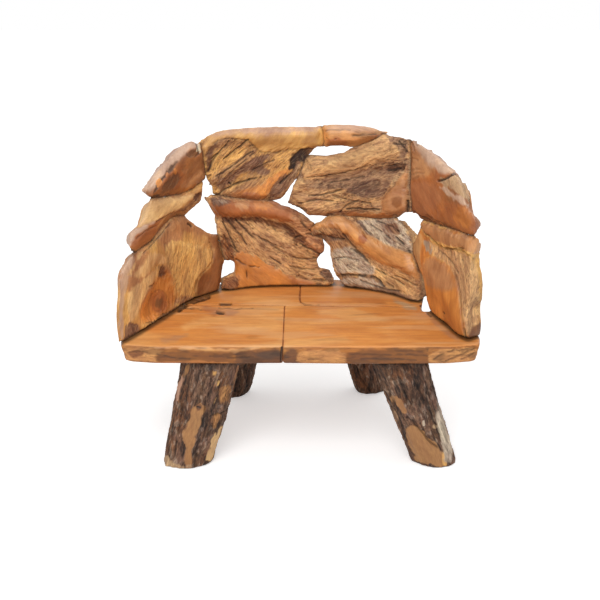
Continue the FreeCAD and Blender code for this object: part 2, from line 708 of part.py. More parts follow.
def add_group(name, fixings):
    """One node of loose dowels or tongues, each a solid of its own."""
    group = doc.addObject("Part::Compound", name)
    group.Label = name
    group.Links = [fixing.piece(f"{name}_{number}") for number, fixing in enumerate(fixings, start=1)]
    return group


def meets(fixing, shape):
    return shape.BoundBox.intersect(fixing.hole().BoundBox)


block_fixings = block_keys()
foot_fixings = foot_dowels()
seat_fixings = seat_keys()
tenons = [tenon(name) for name in LEG_SHARES]
parts = []

for name in BLOCK_SHARES:
    shape = block_shape(name)
    holes = [fixing.hole() for fixing in block_fixings + foot_fixings if meets(fixing, shape)]
    parts.append(add_shape(name, shape.cut(holes).removeSplitter()))

boards = seat_outlines()
for name, outline in boards.items():
    solid = board_face(*outline).extrude(Vector(0, 0, size("seat_thickness")))
    solid.translate(UNDERSIDE)
    fixings = foot_fixings + seat_fixings + tenons
    within = [fixing for fixing in fixings if solid.common(fixing.hole()).Volume > 0]
    parts.append(build_board(name, outline, within))

for name in LEG_SHARES:
    parts.append(add_shape(name, leg_shape(name)))

parts.append(add_group("seat_loose_tenons", seat_fixings))
parts.append(add_group("wall_foot_dowels", foot_fixings))
parts.append(add_group("wall_loose_tenons", block_fixings))
doc.recompute()

# The origin is on the floor, under the middle of the bench.
for part in parts:
    if part.Label in boards:
        part.Placement = Placement(UNDERSIDE, Rotation())
doc.recompute()
box = FreeCAD.BoundBox()
for part in parts:
    box.add(part.Shape.BoundBox)
middle = Vector(box.Center.x, box.Center.y, 0)
for part in parts:
    part.Placement = Placement(part.Placement.Base - middle, part.Placement.Rotation)
doc.recompute()

for item in doc.Objects:
    if "Invalid" in item.State or "Error" in item.State:
        raise RuntimeError(f"{item.Name} failed: {item.State}")
for part in parts:
    if part.Shape.isNull() or not part.Shape.isValid():
        raise RuntimeError(f"{part.Label} has no valid shape")
for part in parts:
    part.Shape.exportStep(f"parts/{part.Label}.step")
print("size", [round(v) for v in (box.XLength, box.YLength, box.ZLength)], "nodes", len(parts))
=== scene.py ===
"""A root wood bench: a curved wall of carved root blocks on a slab seat with four bark legs."""
import math

import bmesh
import bpy
import numpy as np
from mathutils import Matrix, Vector
from mathutils.bvhtree import BVHTree


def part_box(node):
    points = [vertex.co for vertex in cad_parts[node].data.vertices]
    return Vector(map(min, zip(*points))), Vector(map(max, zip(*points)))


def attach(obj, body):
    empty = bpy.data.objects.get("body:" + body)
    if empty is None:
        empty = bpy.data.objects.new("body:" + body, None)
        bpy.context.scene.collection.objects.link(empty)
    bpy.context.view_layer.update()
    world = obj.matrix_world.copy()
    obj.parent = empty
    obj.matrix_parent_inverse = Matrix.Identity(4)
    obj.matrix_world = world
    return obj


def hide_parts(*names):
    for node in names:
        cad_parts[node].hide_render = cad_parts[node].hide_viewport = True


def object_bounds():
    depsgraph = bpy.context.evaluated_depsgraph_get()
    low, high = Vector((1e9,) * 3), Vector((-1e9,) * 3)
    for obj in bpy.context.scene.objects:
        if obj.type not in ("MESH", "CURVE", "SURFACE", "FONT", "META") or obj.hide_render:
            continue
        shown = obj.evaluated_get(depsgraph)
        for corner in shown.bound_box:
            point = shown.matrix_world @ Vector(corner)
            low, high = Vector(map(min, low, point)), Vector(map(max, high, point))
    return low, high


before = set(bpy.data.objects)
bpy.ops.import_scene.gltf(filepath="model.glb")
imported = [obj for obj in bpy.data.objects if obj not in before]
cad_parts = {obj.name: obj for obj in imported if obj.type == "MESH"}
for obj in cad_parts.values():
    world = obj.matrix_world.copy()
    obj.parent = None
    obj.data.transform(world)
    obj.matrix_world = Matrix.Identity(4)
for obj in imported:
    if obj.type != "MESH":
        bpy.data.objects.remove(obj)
CAD_LOW, CAD_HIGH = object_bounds()

# The camera: a long lens at standing height, tilted down, in line with the middle of the seat.
PICTURE_PIXELS = 600.0
FOCAL_PIXELS = 1000.0
AXIS_PIXEL = (300.8, 300.0)
SENSOR_MM = 36.0
PITCH = math.radians(20)
SEAT_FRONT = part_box("seat_board_front_left")[0].y
SEAT_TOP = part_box("seat_board_front_left")[1].z
CAMERA_SIDE = -0.0008
CAMERA_DISTANCE = 2.950
CAMERA_HEIGHT = 1.672
EYE = Vector((CAMERA_SIDE, SEAT_FRONT - CAMERA_DISTANCE, CAMERA_HEIGHT))

camera = bpy.data.objects.new("camera", bpy.data.cameras.new("camera"))
camera.data.sensor_width = SENSOR_MM
camera.data.lens = SENSOR_MM * FOCAL_PIXELS / PICTURE_PIXELS
camera.data.shift_x = (PICTURE_PIXELS / 2 - AXIS_PIXEL[0]) / PICTURE_PIXELS
camera.location = EYE
camera.rotation_euler = (math.radians(90) - PITCH, 0.0, 0.0)
bpy.context.scene.collection.objects.link(camera)
bpy.context.scene.camera = camera
bpy.context.scene.view_settings.view_transform = "Standard"


def colour(red, green, blue):
    """A display colour, 0 to 255, as the linear colour that the shaders use."""
    share = np.array((red, green, blue)) / 255.0
    return np.where(share <= 0.04045, share / 12.92, ((share + 0.055) / 1.055) ** 2.4)


# The woods, from polished and oiled to eroded, and the bark, and a near black for a painted shadow.
WOODS = {
    "peach": colour(218, 160, 100),
    "honey": colour(208, 138, 72),
    "amber": colour(194, 124, 64),
    "russet": colour(172, 106, 62),
    "sienna": colour(176, 116, 80),
    "clay": colour(188, 136, 96),
    "rosewood": colour(192, 148, 122),
    "blush": colour(194, 162, 144),
    "cream": colour(226, 186, 134),
    "straw": colour(224, 180, 114),
    "gold": colour(218, 170, 104),
    "sand": colour(220, 178, 130),
    "tan": colour(198, 154, 108),
    "driftwood": colour(186, 154, 122),
    "slate": colour(168, 148, 132),
    "chestnut": colour(152, 100, 62),
    "plum": colour(144, 108, 86),
    "caramel": colour(210, 152, 96),
    "bole": colour(166, 120, 76),
    "ash": colour(160, 126, 100),
    "smoke": colour(124, 94, 76),
    "silver": colour(204, 190, 174),
    "walnut": colour(138, 84, 32),
    "umber": colour(118, 76, 46),
    "bark": colour(94, 66, 48),
    # A near black for painted shadow.
    "soot": colour(58, 38, 28),
}

# Patches of wood that differ from the rest of their piece, and some painted highlights and shadows:
# the colour, how eroded it is, how far it stands out in millimetres, the width of its soft edge in
# pixels, and its outline. Outlines and lines are in pixels of the photograph, across and down, and lie
# on what faces the camera there.
PATCHES = {}
PATCHES["arm_left_lower"] = (
    ("blush", 0.1, 0, 3, "119,287 121,270 126,261 136,254 133,267 127,284 124,304 124,330 123,341 "
     "119,330"),
    ("cream", 0.35, 1, 2, "173,210 181,209 170,220 164,231 157,241 149,247 139,254 136,260 133,271 "
     "126,277 136,261 146,250 157,236 167,223"),
    ("cream", 0.4, 0, 2, "159,264 157,277 150,289 143,300 139,310 134,321 126,330 129,316 126,301 "
     "131,290 141,281 151,274"),
    ("sand", 0.1, 3, 3, "153,251 166,256 164,263 154,264 149,273 139,279 133,277 141,263"),
    ("straw", 0.55, 4, 2, "166,243 181,241 199,246 212,250 212,261 209,269 196,279 194,290 190,297 "
     "181,299 177,290 171,273 166,261"),
    ("honey", 0.02, -14, 5, "160,269 170,271 174,283 178,297 173,310 164,319 154,322 145,323 141,316 "
     "142,306 149,296 154,287 157,277"),
    ("umber", 0.5, -4, 3, "157,266 164,265 168,276 159,279"),
    ("russet", 0.06, 0, 5, "157,290 167,290 171,301 169,311 160,314 154,310 153,299"),
    ("umber", 0.1, 0, 3, "159,299 164,298 166,304 163,308 159,306"),
    ("chestnut", 0.08, 0, 4, "203,233 220,230 223,251 221,277 220,291 209,297 196,299 196,280 210,269 "
     "214,250 210,239"),
    ("umber", 0.3, -2, 4, "217,236 223,239 224,287 219,291"),
    ("clay", 0.15, 3, 3, "177,219 187,215 197,216 207,229 219,236 201,234 190,231 171,233 167,239 "
     "171,224"),
    ("plum", 0.7, -3, 2, "126,323 133,321 140,327 139,333 131,340 124,342"),
    ("tan", 0.8, 0, 2, "179,294 184,297 196,297 209,296 190,303 177,307 167,316 174,306"),
    ("straw", 0.4, 1, 2, "143,324 157,323 173,312 179,302 177,310 153,329 133,341 141,331"),
)
PATCHES["arm_left_middle"] = (
    ("cream", 0.15, 2, 3, "144,199 179,196 201,194 190,201 179,210 167,216 157,221 143,227 137,229 "
     "141,213"),
    ("russet", 0.1, 3, 3, "126,231 134,229 144,226 159,220 167,216 164,230 153,241 141,251 134,253 "
     "127,247"),
    # Painted highlight along the top edge of the rounded end.
    ("blush", 0.02, 0, 3, "125,231 137,228 157,220 150,225 139,233 133,240 130,248 125,248"),
    ("tan", 0.9, -1, 2, "179,210 190,201 201,195 207,191 208,201 196,209 187,214 177,219 170,216"),
    ("caramel", 0.15, -4, 3, "159,221 174,211 187,213 176,220 164,231 157,233"),
    ("umber", 0.8, -5, 2, "190,196 206,192 208,201 201,204"),
)
PATCHES["arm_left_upper"] = (
    # Painted highlight: the pale sheen along the upward bevel of the arm.
    ("blush", 0.0, 2, 4, "140,192 142,184 153,171 167,155 181,143 196,141 202,144 191,150 177,162 "
     "167,174 160,184 153,193"),
    ("umber", 0.35, -4, 2.5, "160,191 164,183 171,175 178,171 181,177 176,186 169,193 160,196"),
    ("clay", 0.08, 3, 4, "179,190 186,181 196,174 204,170 205,182 200,190 190,194 181,195"),
    ("umber", 0.3, -3, 2.5, "185,153 191,149 198,150 199,157 192,159 186,157"),
    ("bark", 0.4, -5, 2, "154,194 153,189 158,182 165,173 172,165 177,160 179,163 172,171 165,179 "
     "159,187"),
    ("honey", 0.1, 2, 1, "156,181 160,179 163,182 159,188 156,186"),
    ("amber", 0.1, 2, 1, "165,173 169,172 168,177 165,178"),
    ("amber", 0.1, 2, 1, "174,168 177,169 177,175 174,173"),
    ("chestnut", 0.2, -2, 1.5, "182,167 187,164 190,169 186,173 182,172"),
    ("amber", 0.15, 2, 3, "170,191 190,186 204,181 191,195 171,197"),
    ("silver", 0.0, 1, 0.8, "197,144 199,144 201,152 199,153"),
)
PATCHES["back_upper_left"] = (
    ("gold", 0.03, 7, 4, "201,146 210,136 219,130 239,126 267,125 290,124 311,124 325,124 325,149 "
     "311,149 299,148 290,148 289,148 277,152 266,153 259,151 253,144 247,139 237,138 227,136 220,138 "
     "213,144 209,150 205,156"),
    # Painted highlight: the pale pinkish sheen along the top of the rail.
    ("rosewood", 0.0, 0, 5, "210,137 219,131 239,128 267,126 290,126 319,126 319,131 290,133 281,134 "
     "260,136 239,133 221,135"),
    ("honey", 0.45, 2, 3, "224,197 233,194 247,188 261,185 271,177 286,169 294,166 291,173 279,181 "
     "270,190 264,202 250,200 236,200"),
    ("plum", 0.95, -4, 3, "216,188 219,179 231,173 239,167 253,158 267,153 271,157 261,164 271,171 "
     "264,176 247,173 239,177 230,184 223,190"),
    ("tan", 0.9, 3, 2, "209,180 219,171 233,162 250,151 259,149 253,157 239,167 224,174 213,185"),
    ("umber", 0.8, -4, 2, "206,153 214,142 219,143 213,153 210,170 208,173"),
    ("gold", 0.9, 1, 3, "271,153 289,151 301,149 296,161 284,167 274,173 271,164"),
    ("russet", 0.2, 3, 2, "239,196 247,192 260,194 261,201 250,200"),
    # Painted shadow under the rail's end, over a real hollow.
    ("soot", 0.7, -12, 2, "293,153 299,149 314,147 314,153 308,156 300,165 294,169 287,171 290,160"),
    ("plum", 0.9, -7, 2, "279,177 290,173 296,167 300,160 302,164 296,177 287,190 280,199 270,201 "
     "269,194"),
    ("driftwood", 0.7, 2, 1.5, "286,184 294,171 299,165 301,167 294,179 287,188"),
)
PATCHES["top_rail_right"] = (
    # Painted highlight: the pale pinkish sheen along the top of the rail.
    ("rosewood", 0.0, 1, 4, "326,127 344,124 364,125 381,130 370,131 350,131 333,131 326,134"),
    ("bole", 0.35, -2, 3, "351,135 361,132 376,131 383,133 370,137 359,139 351,138"),
    ("russet", 0.05, 1, 3, "326,137 350,139 349,146 327,146"),
    # Painted shade along the underside of the rail.
    ("umber", 0.3, -2, 2, "324,147 347,147 359,144 379,137 385,133 383,139 361,149 350,149 324,149"),
)
PATCHES["back_upper_right"] = (
    ("sand", 0.65, 6, 3, "306,158 333,155 350,149 370,140 383,133 399,137 404,143 404,153 396,159 "
     "381,161 370,164 354,170 333,175 316,179 304,180 303,170"),
    ("cream", 0.5, 2, 3, "326,160 350,154 370,147 381,149 370,156 350,163 327,167"),
    ("ash", 1, -2, 3, "304,181 333,176 354,171 376,167 401,167 393,181 383,196 364,201 351,190 333,190 "
     "307,190"),
    ("smoke", 1, -2, 4, "351,184 370,179 381,181 376,193 361,199 351,193"),
    ("sand", 1, 0, 3, "291,197 307,187 333,190 347,196 340,210 311,216 296,210"),
    # Painted shadow: a broad brown band round the dark hole.
    ("umber", 1, -4, 3, "373,170 381,166 393,164 406,163 406,169 393,171 381,171"),
    ("ash", 1, -2, 2, "383,134 399,136 408,140 407,157 399,158 400,147 390,141"),
    ("clay", 0.02, 9, 3, "407,163 404,173 396,181 389,190 383,197 381,207 384,215 393,217 399,215 "
     "407,210 408,196"),
    ("chestnut", 0.02, 1, 2.5, "392,197 397,194 402,197 403,203 399,208 394,207 391,202"),
    ("amber", 0.3, 2, 1.5, "316,216 304,215 302,217 311,219 326,217 354,217 381,218 393,218 393,213 "
     "376,214 354,213 333,215"),
)
PATCHES["back_lower_left"] = (
    ("russet", 0.04, 9, 3, "208,195 216,196 231,201 253,201 259,200 273,202 289,208 302,212 298,220 "
     "287,223 274,219 253,216 239,216 218,217 212,209"),
    ("clay", 0.03, 0, 1.5, "233,203 249,202 249,209 234,209"),
    ("amber", 0.03, 0, 2, "251,201 269,202 274,209 256,210"),
    ("smoke", 0.5, -2, 2, "208,195 214,196 229,201 231,204 216,205 210,202"),
    ("slate", 0.3, 0, 1.2, "217,200 226,201 226,204 219,203"),
    ("clay", 1, 8, 3, "291,211 301,213 290,211 299,215 311,221 320,234 324,247 324,259 316,254 304,244 "
     "296,236 290,234 300,233 290,224"),
    # Painted shadow under the raised ridge above it.
    ("umber", 1, -5, 2, "219,217 239,217 253,217 274,221 289,225 300,234 310,244 299,243 290,246 300,247 "
     "287,233 267,224 246,221 224,223"),
    ("sand", 0.95, 1, 4, "239,223 267,226 287,236 296,247 296,249 289,253 267,247 246,239"),
    ("honey", 0.03, 3, 1.6, "234,254 239,250 250,254 259,256 270,266 281,271 293,277 310,283 299,280 "
     "314,283 326,285 334,285 333,289 299,289 290,289 234,292 221,291 221,286 231,283 237,271 233,266"),
    ("amber", 0.05, 0, 2, "291,276 310,282 307,282 326,285 334,286 333,289 290,289 291,289"),
    ("chestnut", 0.95, 2, 2, "221,288 224,279 237,273 239,283 236,290"),
    ("chestnut", 1, -4, 2, "220,230 224,230 234,247 235,262 225,259 222,246"),
    ("smoke", 1, -5, 2, "321,269 331,271 334,284 324,279 319,274"),
)
PATCHES["back_lower_right"] = (
    ("silver", 1, 0, 3, "353,219 370,220 390,219 399,219 405,229 413,247 413,255 390,247 376,239 "
     "364,231"),
    ("plum", 1, -4, 2.5, "383,224 396,221 402,233 396,236 387,231"),
    ("tan", 1, 0, 3, "304,234 319,229 331,229 339,231 347,241 353,247 344,248 331,246 321,239"),
    ("ash", 1, -5, 1.6, "307,236 321,234 337,236 341,241 331,242 321,239"),
    ("caramel", 0.03, 10, 3, "316,225 327,217 334,215 344,217 353,222 361,231 370,236 379,242 389,246 "
     "413,253 414,259 418,267 419,279 411,275 401,269 390,266 377,262 370,256 361,247 353,240 343,233 "
     "339,229 331,227 323,227 317,229 307,233"),
    ("russet", 0.03, 0, 2.5, "360,236 366,234 369,239 367,244 361,243 359,239"),
    ("caramel", 0.1, 0, 4, "370,253 381,251 401,261 417,271 419,279 407,273 390,266 379,262"),
    ("silver", 0.9, 1, 3, "329,253 337,249 350,246 359,253 370,263 381,273 370,275 354,273 337,274 "
     "333,266"),
    ("cream", 0.8, 0, 3, "376,266 390,269 404,273 419,283 418,299 404,295 387,289 381,283 373,276"),
    ("ash", 0.6, 4, 1.6, "338,278 350,276 370,277 381,280 384,286 401,293 418,299 417,302 390,296 "
     "370,292 353,291 343,290 339,284"),
    ("silver", 0.7, 1, 2, "339,279 351,278 370,279 383,283 381,287 367,285 353,283 341,283"),
)
PATCHES["arm_right_upper"] = (
    ("clay", 0.03, 0, 6, "409,139 420,141 434,149 439,161 433,174 419,179 409,179"),
    # Painted highlight: the pale pinkish band along the outer edge.
    ("blush", 0.02, 1, 4, "413,138 422,142 437,153 452,165 460,174 444,174 434,169 426,161 418,150"),
    ("driftwood", 0.3, -1, 2, "440,179 449,175 459,175 466,181 471,196 470,203 460,194 450,189 441,184"),
    ("blush", 0.15, 1, 2, "437,186 450,190 461,197 471,207 461,204 447,196"),
    ("russet", 0.05, 3, 4, "450,201 467,209 477,221 481,233 474,236 461,231 440,224 430,216 439,203"),
    ("amber", 0.05, 0, 4, "456,206 466,208 473,217 473,227 462,226 455,216"),
    ("rosewood", 0.1, 2, 3, "476,209 482,219 483,238 479,238 479,224"),
    ("sienna", 0.04, 2, 5, "409,181 433,182 444,196 433,210 424,216 411,211 409,199"),
)
PATCHES["arm_right_lower"] = (
    ("sand", 0.8, -3, 3, "424,236 444,249 466,251 474,261 481,277 481,316 476,329 467,339 464,323 "
     "460,299 454,276 444,262 433,257"),
    ("tan", 0.1, 2, 2.5, "414,231 419,232 425,243 419,253 423,277 422,299 418,293 415,277 413,256 "
     "412,239"),
    ("honey", 0.03, 3, 1.6, "422,259 433,256 444,263 453,273 457,287 460,304 464,321 464,339 454,331 "
     "440,321 426,312 422,299 421,284"),
    ("clay", 0.04, 0, 5, "422,261 433,258 444,264 452,274 456,290 444,291 431,287 422,280"),
    ("clay", 0.04, 7, 2, "418,222 433,224 447,231 469,237 482,239 482,253 469,255 463,247 447,248 "
     "439,243 427,237"),
    ("gold", 0.1, 3, 1.5, "424,232 433,239 444,244 457,246 467,251 474,252 467,256 457,250 443,249 "
     "431,243"),
    ("slate", 0.3, -1, 1.3, "423,240 429,241 432,251 430,256 425,250"),
    ("umber", 0.15, 2, 2, "474,327 482,321 483,336 481,340 469,341 465,337"),
    ("gold", 0.4, 1, 2, "476,251 483,253 484,287 481,316 479,273"),
)
PATCHES["seat"] = (
    ("peach", 0.0, 0, 4, "184,323 210,316 236,314 221,321 199,327 180,330"),
    ("peach", 0.0, 0, 5, "221,329 250,323 279,321 279,330 239,333"),
    ("clay", 0.0, 0, 4, "157,341 171,336 191,334 181,339 167,344"),
    ("russet", 0.0, 0, 4, "199,304 219,309 241,310 233,316 210,316"),
    ("honey", 0.0, 0, 4, "239,333 280,331 280,343 239,341"),
    ("honey", 0.0, 0, 6, "284,310 310,310 333,310 333,321 290,323 284,321"),
    ("peach", 0.0, 0, 4, "311,310 350,307 381,316 399,321 361,321 327,316"),
    ("honey", 0.0, 0, 5, "340,329 370,327 390,336 384,343 350,343"),
    ("honey", 0.0, 0, 5, "390,319 419,321 444,339 419,341 396,333"),
    ("amber", 0.0, 0, 4, "350,293 379,297 390,304 370,306 350,300"),
    ("driftwood", 0.1, 0, 3, "390,299 404,301 417,307 417,312 404,308"),
    ("clay", 0.1, 0, 3, "427,313 447,330 463,342 451,339 434,324"),
    ("caramel", 0.6, 0, 3, "119,347 165,349 160,353 158,367 119,367"),
    ("chestnut", 0.8, -2, 2, "127,352 136,350 146,352 140,357 130,358"),
    ("walnut", 0.25, 0, 3, "156,351 200,351 234,353 236,367 156,367"),
    ("amber", 0.3, 0, 2, "150,361 232,361 232,367 150,367"),
    ("umber", 0.6, -1, 3, "234,351 262,350 283,348 283,367 236,367"),
    ("bark", 0.5, 0, 4, "254,352 282,350 282,358 258,359"),
    ("umber", 0.5, 0, 3, "284,348 300,349 298,367 284,367"),
    ("caramel", 0.7, 0, 3, "296,350 346,349 347,367 296,367"),
    ("walnut", 0.2, 0, 2, "346,349 426,349 430,358 428,367 347,367"),
    ("caramel", 0.6, 0, 2, "430,349 484,347 484,367 428,367"),
    # Painted highlight: a thin pale line along the top front arris.
    ("peach", 0.0, 0, 2, "150,346 200,348 232,350 262,346 262,348 232,352 200,350 150,348"),
)
PATCHES["leg_front_left"] = (
    ("bole", 0.12, -3, 1.2, "190,410 195,405 201,403 206,407 205,412 201,417 200,424 197,434 195,444 "
     "191,452 191,470 184,470 184,462 186,447 183,441 183,432 186,425 190,418"),
    ("umber", 0.2, 2, 1.2, "195,405 200,404 202,408 199,411 195,409"),
    ("cream", 0.15, -2, 1.2, "223,424 225,430 219,444 213,458 208,462 205,460 208,450 213,440 218,430"),
    ("bole", 0.85, -1, 2, "220,386 231,384 232,392 227,400 221,405 218,396"),
    ("bole", 0.8, -1, 2, "211,416 221,413 220,422 214,431 211,428"),
    ("rosewood", 0.2, 0, 1.5, "180,376 184,376 181,392 178,401 175,400 178,386"),
    ("bole", 0.4, 0, 1.5, "190,365 184,378 182,376 186,366"),
    ("driftwood", 0.4, -1, 1.5, "163,456 169,455 170,463 180,465 192,465 190,470 162,470"),
    ("straw", 0.4, 0, 1, "213,403 215,397 219,394 218,399 214,405"),
    ("straw", 0.5, 0, 1, "217,386 218,380 221,379 219,386"),
    ("clay", 0.6, 0, 1.2, "236,366 240,366 237,382 233,398 230,406 233,386"),
    ("gold", 0.6, 0, 1, "213,371 217,370 215,376 212,375"),
)
PATCHES["leg_front_right"] = (
    ("bole", 0.08, -2, 1.2, "408,427 412,424 417,426 424,433 430,440 437,445 442,450 444,458 446,466 "
     "436,466 426,464 418,462 413,453 408,441 406,433"),
    ("gold", 0.1, -1, 1, "441,449 444,452 447,466 444,466 443,458"),
    ("bole", 0.12, -3, 1.2, "390,396 394,394 398,397 403,403 406,409 407,413 404,414 399,409 395,403 "
     "391,400"),
    ("gold", 0.15, 0, 1.2, "378,381 382,387 386,395 386,398 382,394 380,388"),
    ("silver", 0.1, 1, 0.8, "422,421 425,420 426,425 424,426 422,424"),
    ("driftwood", 0.5, 1, 0.8, "434,426 437,426 437,428 434,428"),
    ("silver", 0.5, 0, 2.5, "437,395 441,403 446,422 450,440 454,460 447,464 443,450 440,434 437,416"),
    ("ash", 0.8, 0, 1.5, "391,407 396,411 399,420 396,422 392,414"),
    ("bark", 0.9, 0, 3, "374,364 387,364 389,379 380,376"),
)
PATCHES["leg_rear_right"] = (
    ("umber", 0.9, 1, 3, "349,369 357,370 367,384 374,391 366,393 354,381"),
)

# Cracks, grooves and holes, a few of them darkened as painted shadow: width in pixels, depth in
# millimetres, how dark they are, and their line.
CRACKS = {}
CRACKS["arm_left_lower"] = (
    (1.2, 1, 0.2, "153,313 151,303 155,293 162,289 169,293 172,303 169,313 161,317 153,313"),
    (1.0, 1, 0.2, "156,308 156,299 161,294 166,299 166,308 160,312 156,308"),
    (1.2, 1, 0.15, "147,316 147,304 153,293 160,280 169,277"),
    (1.6, 6, 0.9, "124,344 139,336 153,329 173,314 181,307 190,302 209,296 221,291"),
    (2.0, 5, 0.9, "188,224 190,225 191,226"),
    (1.5, 3, 0.2, "166,244 167,259 173,273 178,290"),
    (1.5, 3, 0.2, "209,240 213,250 212,263 196,279 195,291"),
    (1.4, 3, 0.5, "150,287 153,285 155,284"),
    (1.2, 3, 0.6, "144,253 157,239 170,224"),
    (1.0, 2, 0.4, "146,323 153,323 157,322"),
)
CRACKS["arm_left_middle"] = (
    (1.6, 5, 0.8, "126,248 134,251 139,254 147,247 159,239 166,231"),
    (1.2, 3, 0.5, "157,221 167,216 174,212"),
    (1.0, 2, 0.4, "136,239 144,231 156,226"),
)
CRACKS["arm_left_upper"] = (
    (1.4, 4, 0.6, "142,195 150,197 159,196"),
    (1.2, 3, 0.6, "201,146 201,150 204,153"),
    (1.0, 2, 0.8, "195,143 197,148 199,154"),
    (1.0, 2, 0.4, "184,194 196,190 204,184"),
)
CRACKS["back_upper_left"] = (
    (1.2, 4, 0.8, "210,160 219,152 229,142"),
    (1.3, 5, 0.9, "224,159 239,147 248,140"),
    (1.2, 4, 0.8, "216,176 231,167 243,157 253,151"),
    (1.2, 4, 0.8, "209,171 213,161 219,153"),
    (1.1, 4, 0.7, "231,173 244,161 254,153"),
    (1.3, 5, 0.8, "219,194 231,186 246,180 261,177"),
    (1.1, 3, 0.7, "253,171 264,164 274,160"),
    (1.1, 3, 0.6, "239,153 247,147 254,145"),
    (1.3, 6, 1.0, "230,183 231,184"),
    (1.0, 4, 0.9, "249,179 250,180"),
    (1.4, 4, 0.7, "215,192 219,196 229,197"),
    (1.3, 3, 0.4, "213,144 221,139 236,139 247,140 254,146 261,153 279,152 296,149"),
    # A groove darkened with painted shadow along the block's right edge.
    (1.6, 6, 0.9, "280,184 289,175 296,166"),
)
CRACKS["top_rail_right"] = (
    (1.2, 2, 0.5, "353,136 364,134 376,134"),
    (1.0, 2, 0.6, "327,138 329,139"),
    (1.0, 2, 0.6, "335,139 336,139"),
    (1.0, 2, 0.4, "326,131 337,130 350,130"),
)
CRACKS["back_upper_right"] = (
    (1.8, 6, 0.85, "387,170 395,169 404,168"),
    (1.4, 5, 0.8, "309,196 326,194 341,190"),
    (1.2, 4, 0.8, "340,212 347,204 359,200"),
    (1.2, 4, 0.8, "299,204 316,199 333,201"),
    (1.4, 5, 0.9, "347,209 364,209 381,209"),
    (1.6, 6, 0.9, "290,205 299,208 306,210"),
    (1.1, 4, 0.6, "307,177 333,175 354,170 370,165"),
    (1.2, 4, 0.6, "333,196 351,201 370,203"),
    (1.2, 4, 0.8, "399,141 403,146 407,151"),
    (1.2, 4, 0.7, "394,144 404,144"),
    (1.0, 3, 0.6, "319,184 341,181 364,176"),
    (1.0, 3, 0.6, "326,165 327,170"),
    (1.4, 3, 0.35, "383,199 390,190 399,181 406,170"),
    (1.8, 8, 0.95, "408,201 408,213"),
    (1.2, 4, 0.8, "357,216 370,219 393,219"),
)
CRACKS["back_lower_left"] = (
    (1.2, 4, 0.8, "223,222 230,236 236,248"),
    (1.2, 4, 0.8, "229,221 239,233 247,244"),
    (1.2, 4, 0.8, "236,220 247,231 255,239"),
    (1.1, 3, 0.7, "243,220 253,229"),
    (1.1, 3, 0.6, "267,225 276,229"),
    (1.1, 3, 0.6, "259,237 270,243 281,247"),
    (1.2, 4, 0.8, "224,235 231,246 239,252"),
    (1.1, 3, 0.7, "236,259 247,266 259,267"),
    (1.0, 3, 0.8, "246,269 247,279"),
    (1.1, 3, 0.7, "270,257 281,264"),
    (1.1, 3, 0.6, "253,234 267,241 279,250"),
    (1.5, 5, 0.8, "299,219 307,229 319,236"),
    (1.4, 5, 0.8, "300,244 310,249 322,254"),
    (1.4, 4, 0.7, "294,239 304,233 317,236"),
    (1.2, 4, 0.6, "290,256 304,260 317,257"),
    (1.2, 4, 0.6, "290,266 303,269 319,269"),
    (1.3, 4, 0.7, "299,276 311,280 326,281"),
    (1.4, 4, 0.8, "224,289 231,290 236,290"),
)
CRACKS["back_lower_right"] = (
    (1.3, 4, 0.8, "340,287 351,287 367,290 381,293"),
    (1.8, 6, 0.85, "337,276 354,275 370,276 379,279 384,286"),
    (1.2, 4, 0.7, "371,224 381,231 390,239"),
    (1.4, 5, 0.9, "396,237 404,245 412,254"),
    (1.1, 3, 0.7, "376,221 387,224 399,231"),
    (1.1, 3, 0.6, "359,223 370,233 379,239"),
    (1.2, 4, 0.7, "319,231 331,239 344,239"),
    (1.5, 4, 0.7, "343,234 351,244 359,253 367,260"),
    (1.2, 4, 0.7, "351,249 361,254 370,264"),
    (1.2, 4, 0.7, "376,269 393,278 404,285"),
    (1.1, 3, 0.6, "334,259 347,257 359,261"),
    (1.2, 4, 0.7, "361,280 381,288 399,291"),
    (1.1, 3, 0.6, "387,273 404,279 417,286"),
    (1.2, 3, 0.6, "379,277 393,287"),
    # A groove darkened with painted shadow along the foot of the block.
    (1.6, 5, 0.9, "344,291 370,293 393,298 417,302"),
)
CRACKS["arm_right_upper"] = (
    (1.5, 6, 0.9, "438,181 444,179 450,175 456,174"),
    (1.6, 1.5, 0.22, "409,171 416,169 420,169"),
    (1.6, 1.5, 0.22, "409,175 417,173 424,173"),
    (1.6, 1.5, 0.22, "409,179 414,179 419,177"),
    (1.5, 5, 0.6, "410,210 426,219 440,225 454,230 469,235 479,237"),
    (1.3, 3, 0.5, "427,215 441,223 454,229"),
    (1.5, 2.5, 0.3, "411,141 413,146 414,151"),
    (1.4, 2.5, 0.3, "415,141 417,145"),
    (1.4, 1.5, 0.2, "409,157 413,158 417,160"),
    (1.4, 4, 0.5, "470,200 474,209 476,210"),
)
CRACKS["arm_right_lower"] = (
    (1.5, 4, 0.6, "418,224 427,234 437,244 447,249 463,248"),
    (1.8, 6, 0.9, "464,329 465,340 482,340"),
    (1.8, 6, 0.9, "426,312 433,317 447,329 464,339"),
    (1.2, 3, 0.4, "454,273 459,290 461,310 464,329"),
    (1.2, 4, 0.5, "444,248 461,250 468,254 474,259"),
    (1.1, 3, 0.5, "439,251 450,261 457,273"),
    (1.0, 3, 0.8, "444,312 445,314"),
)
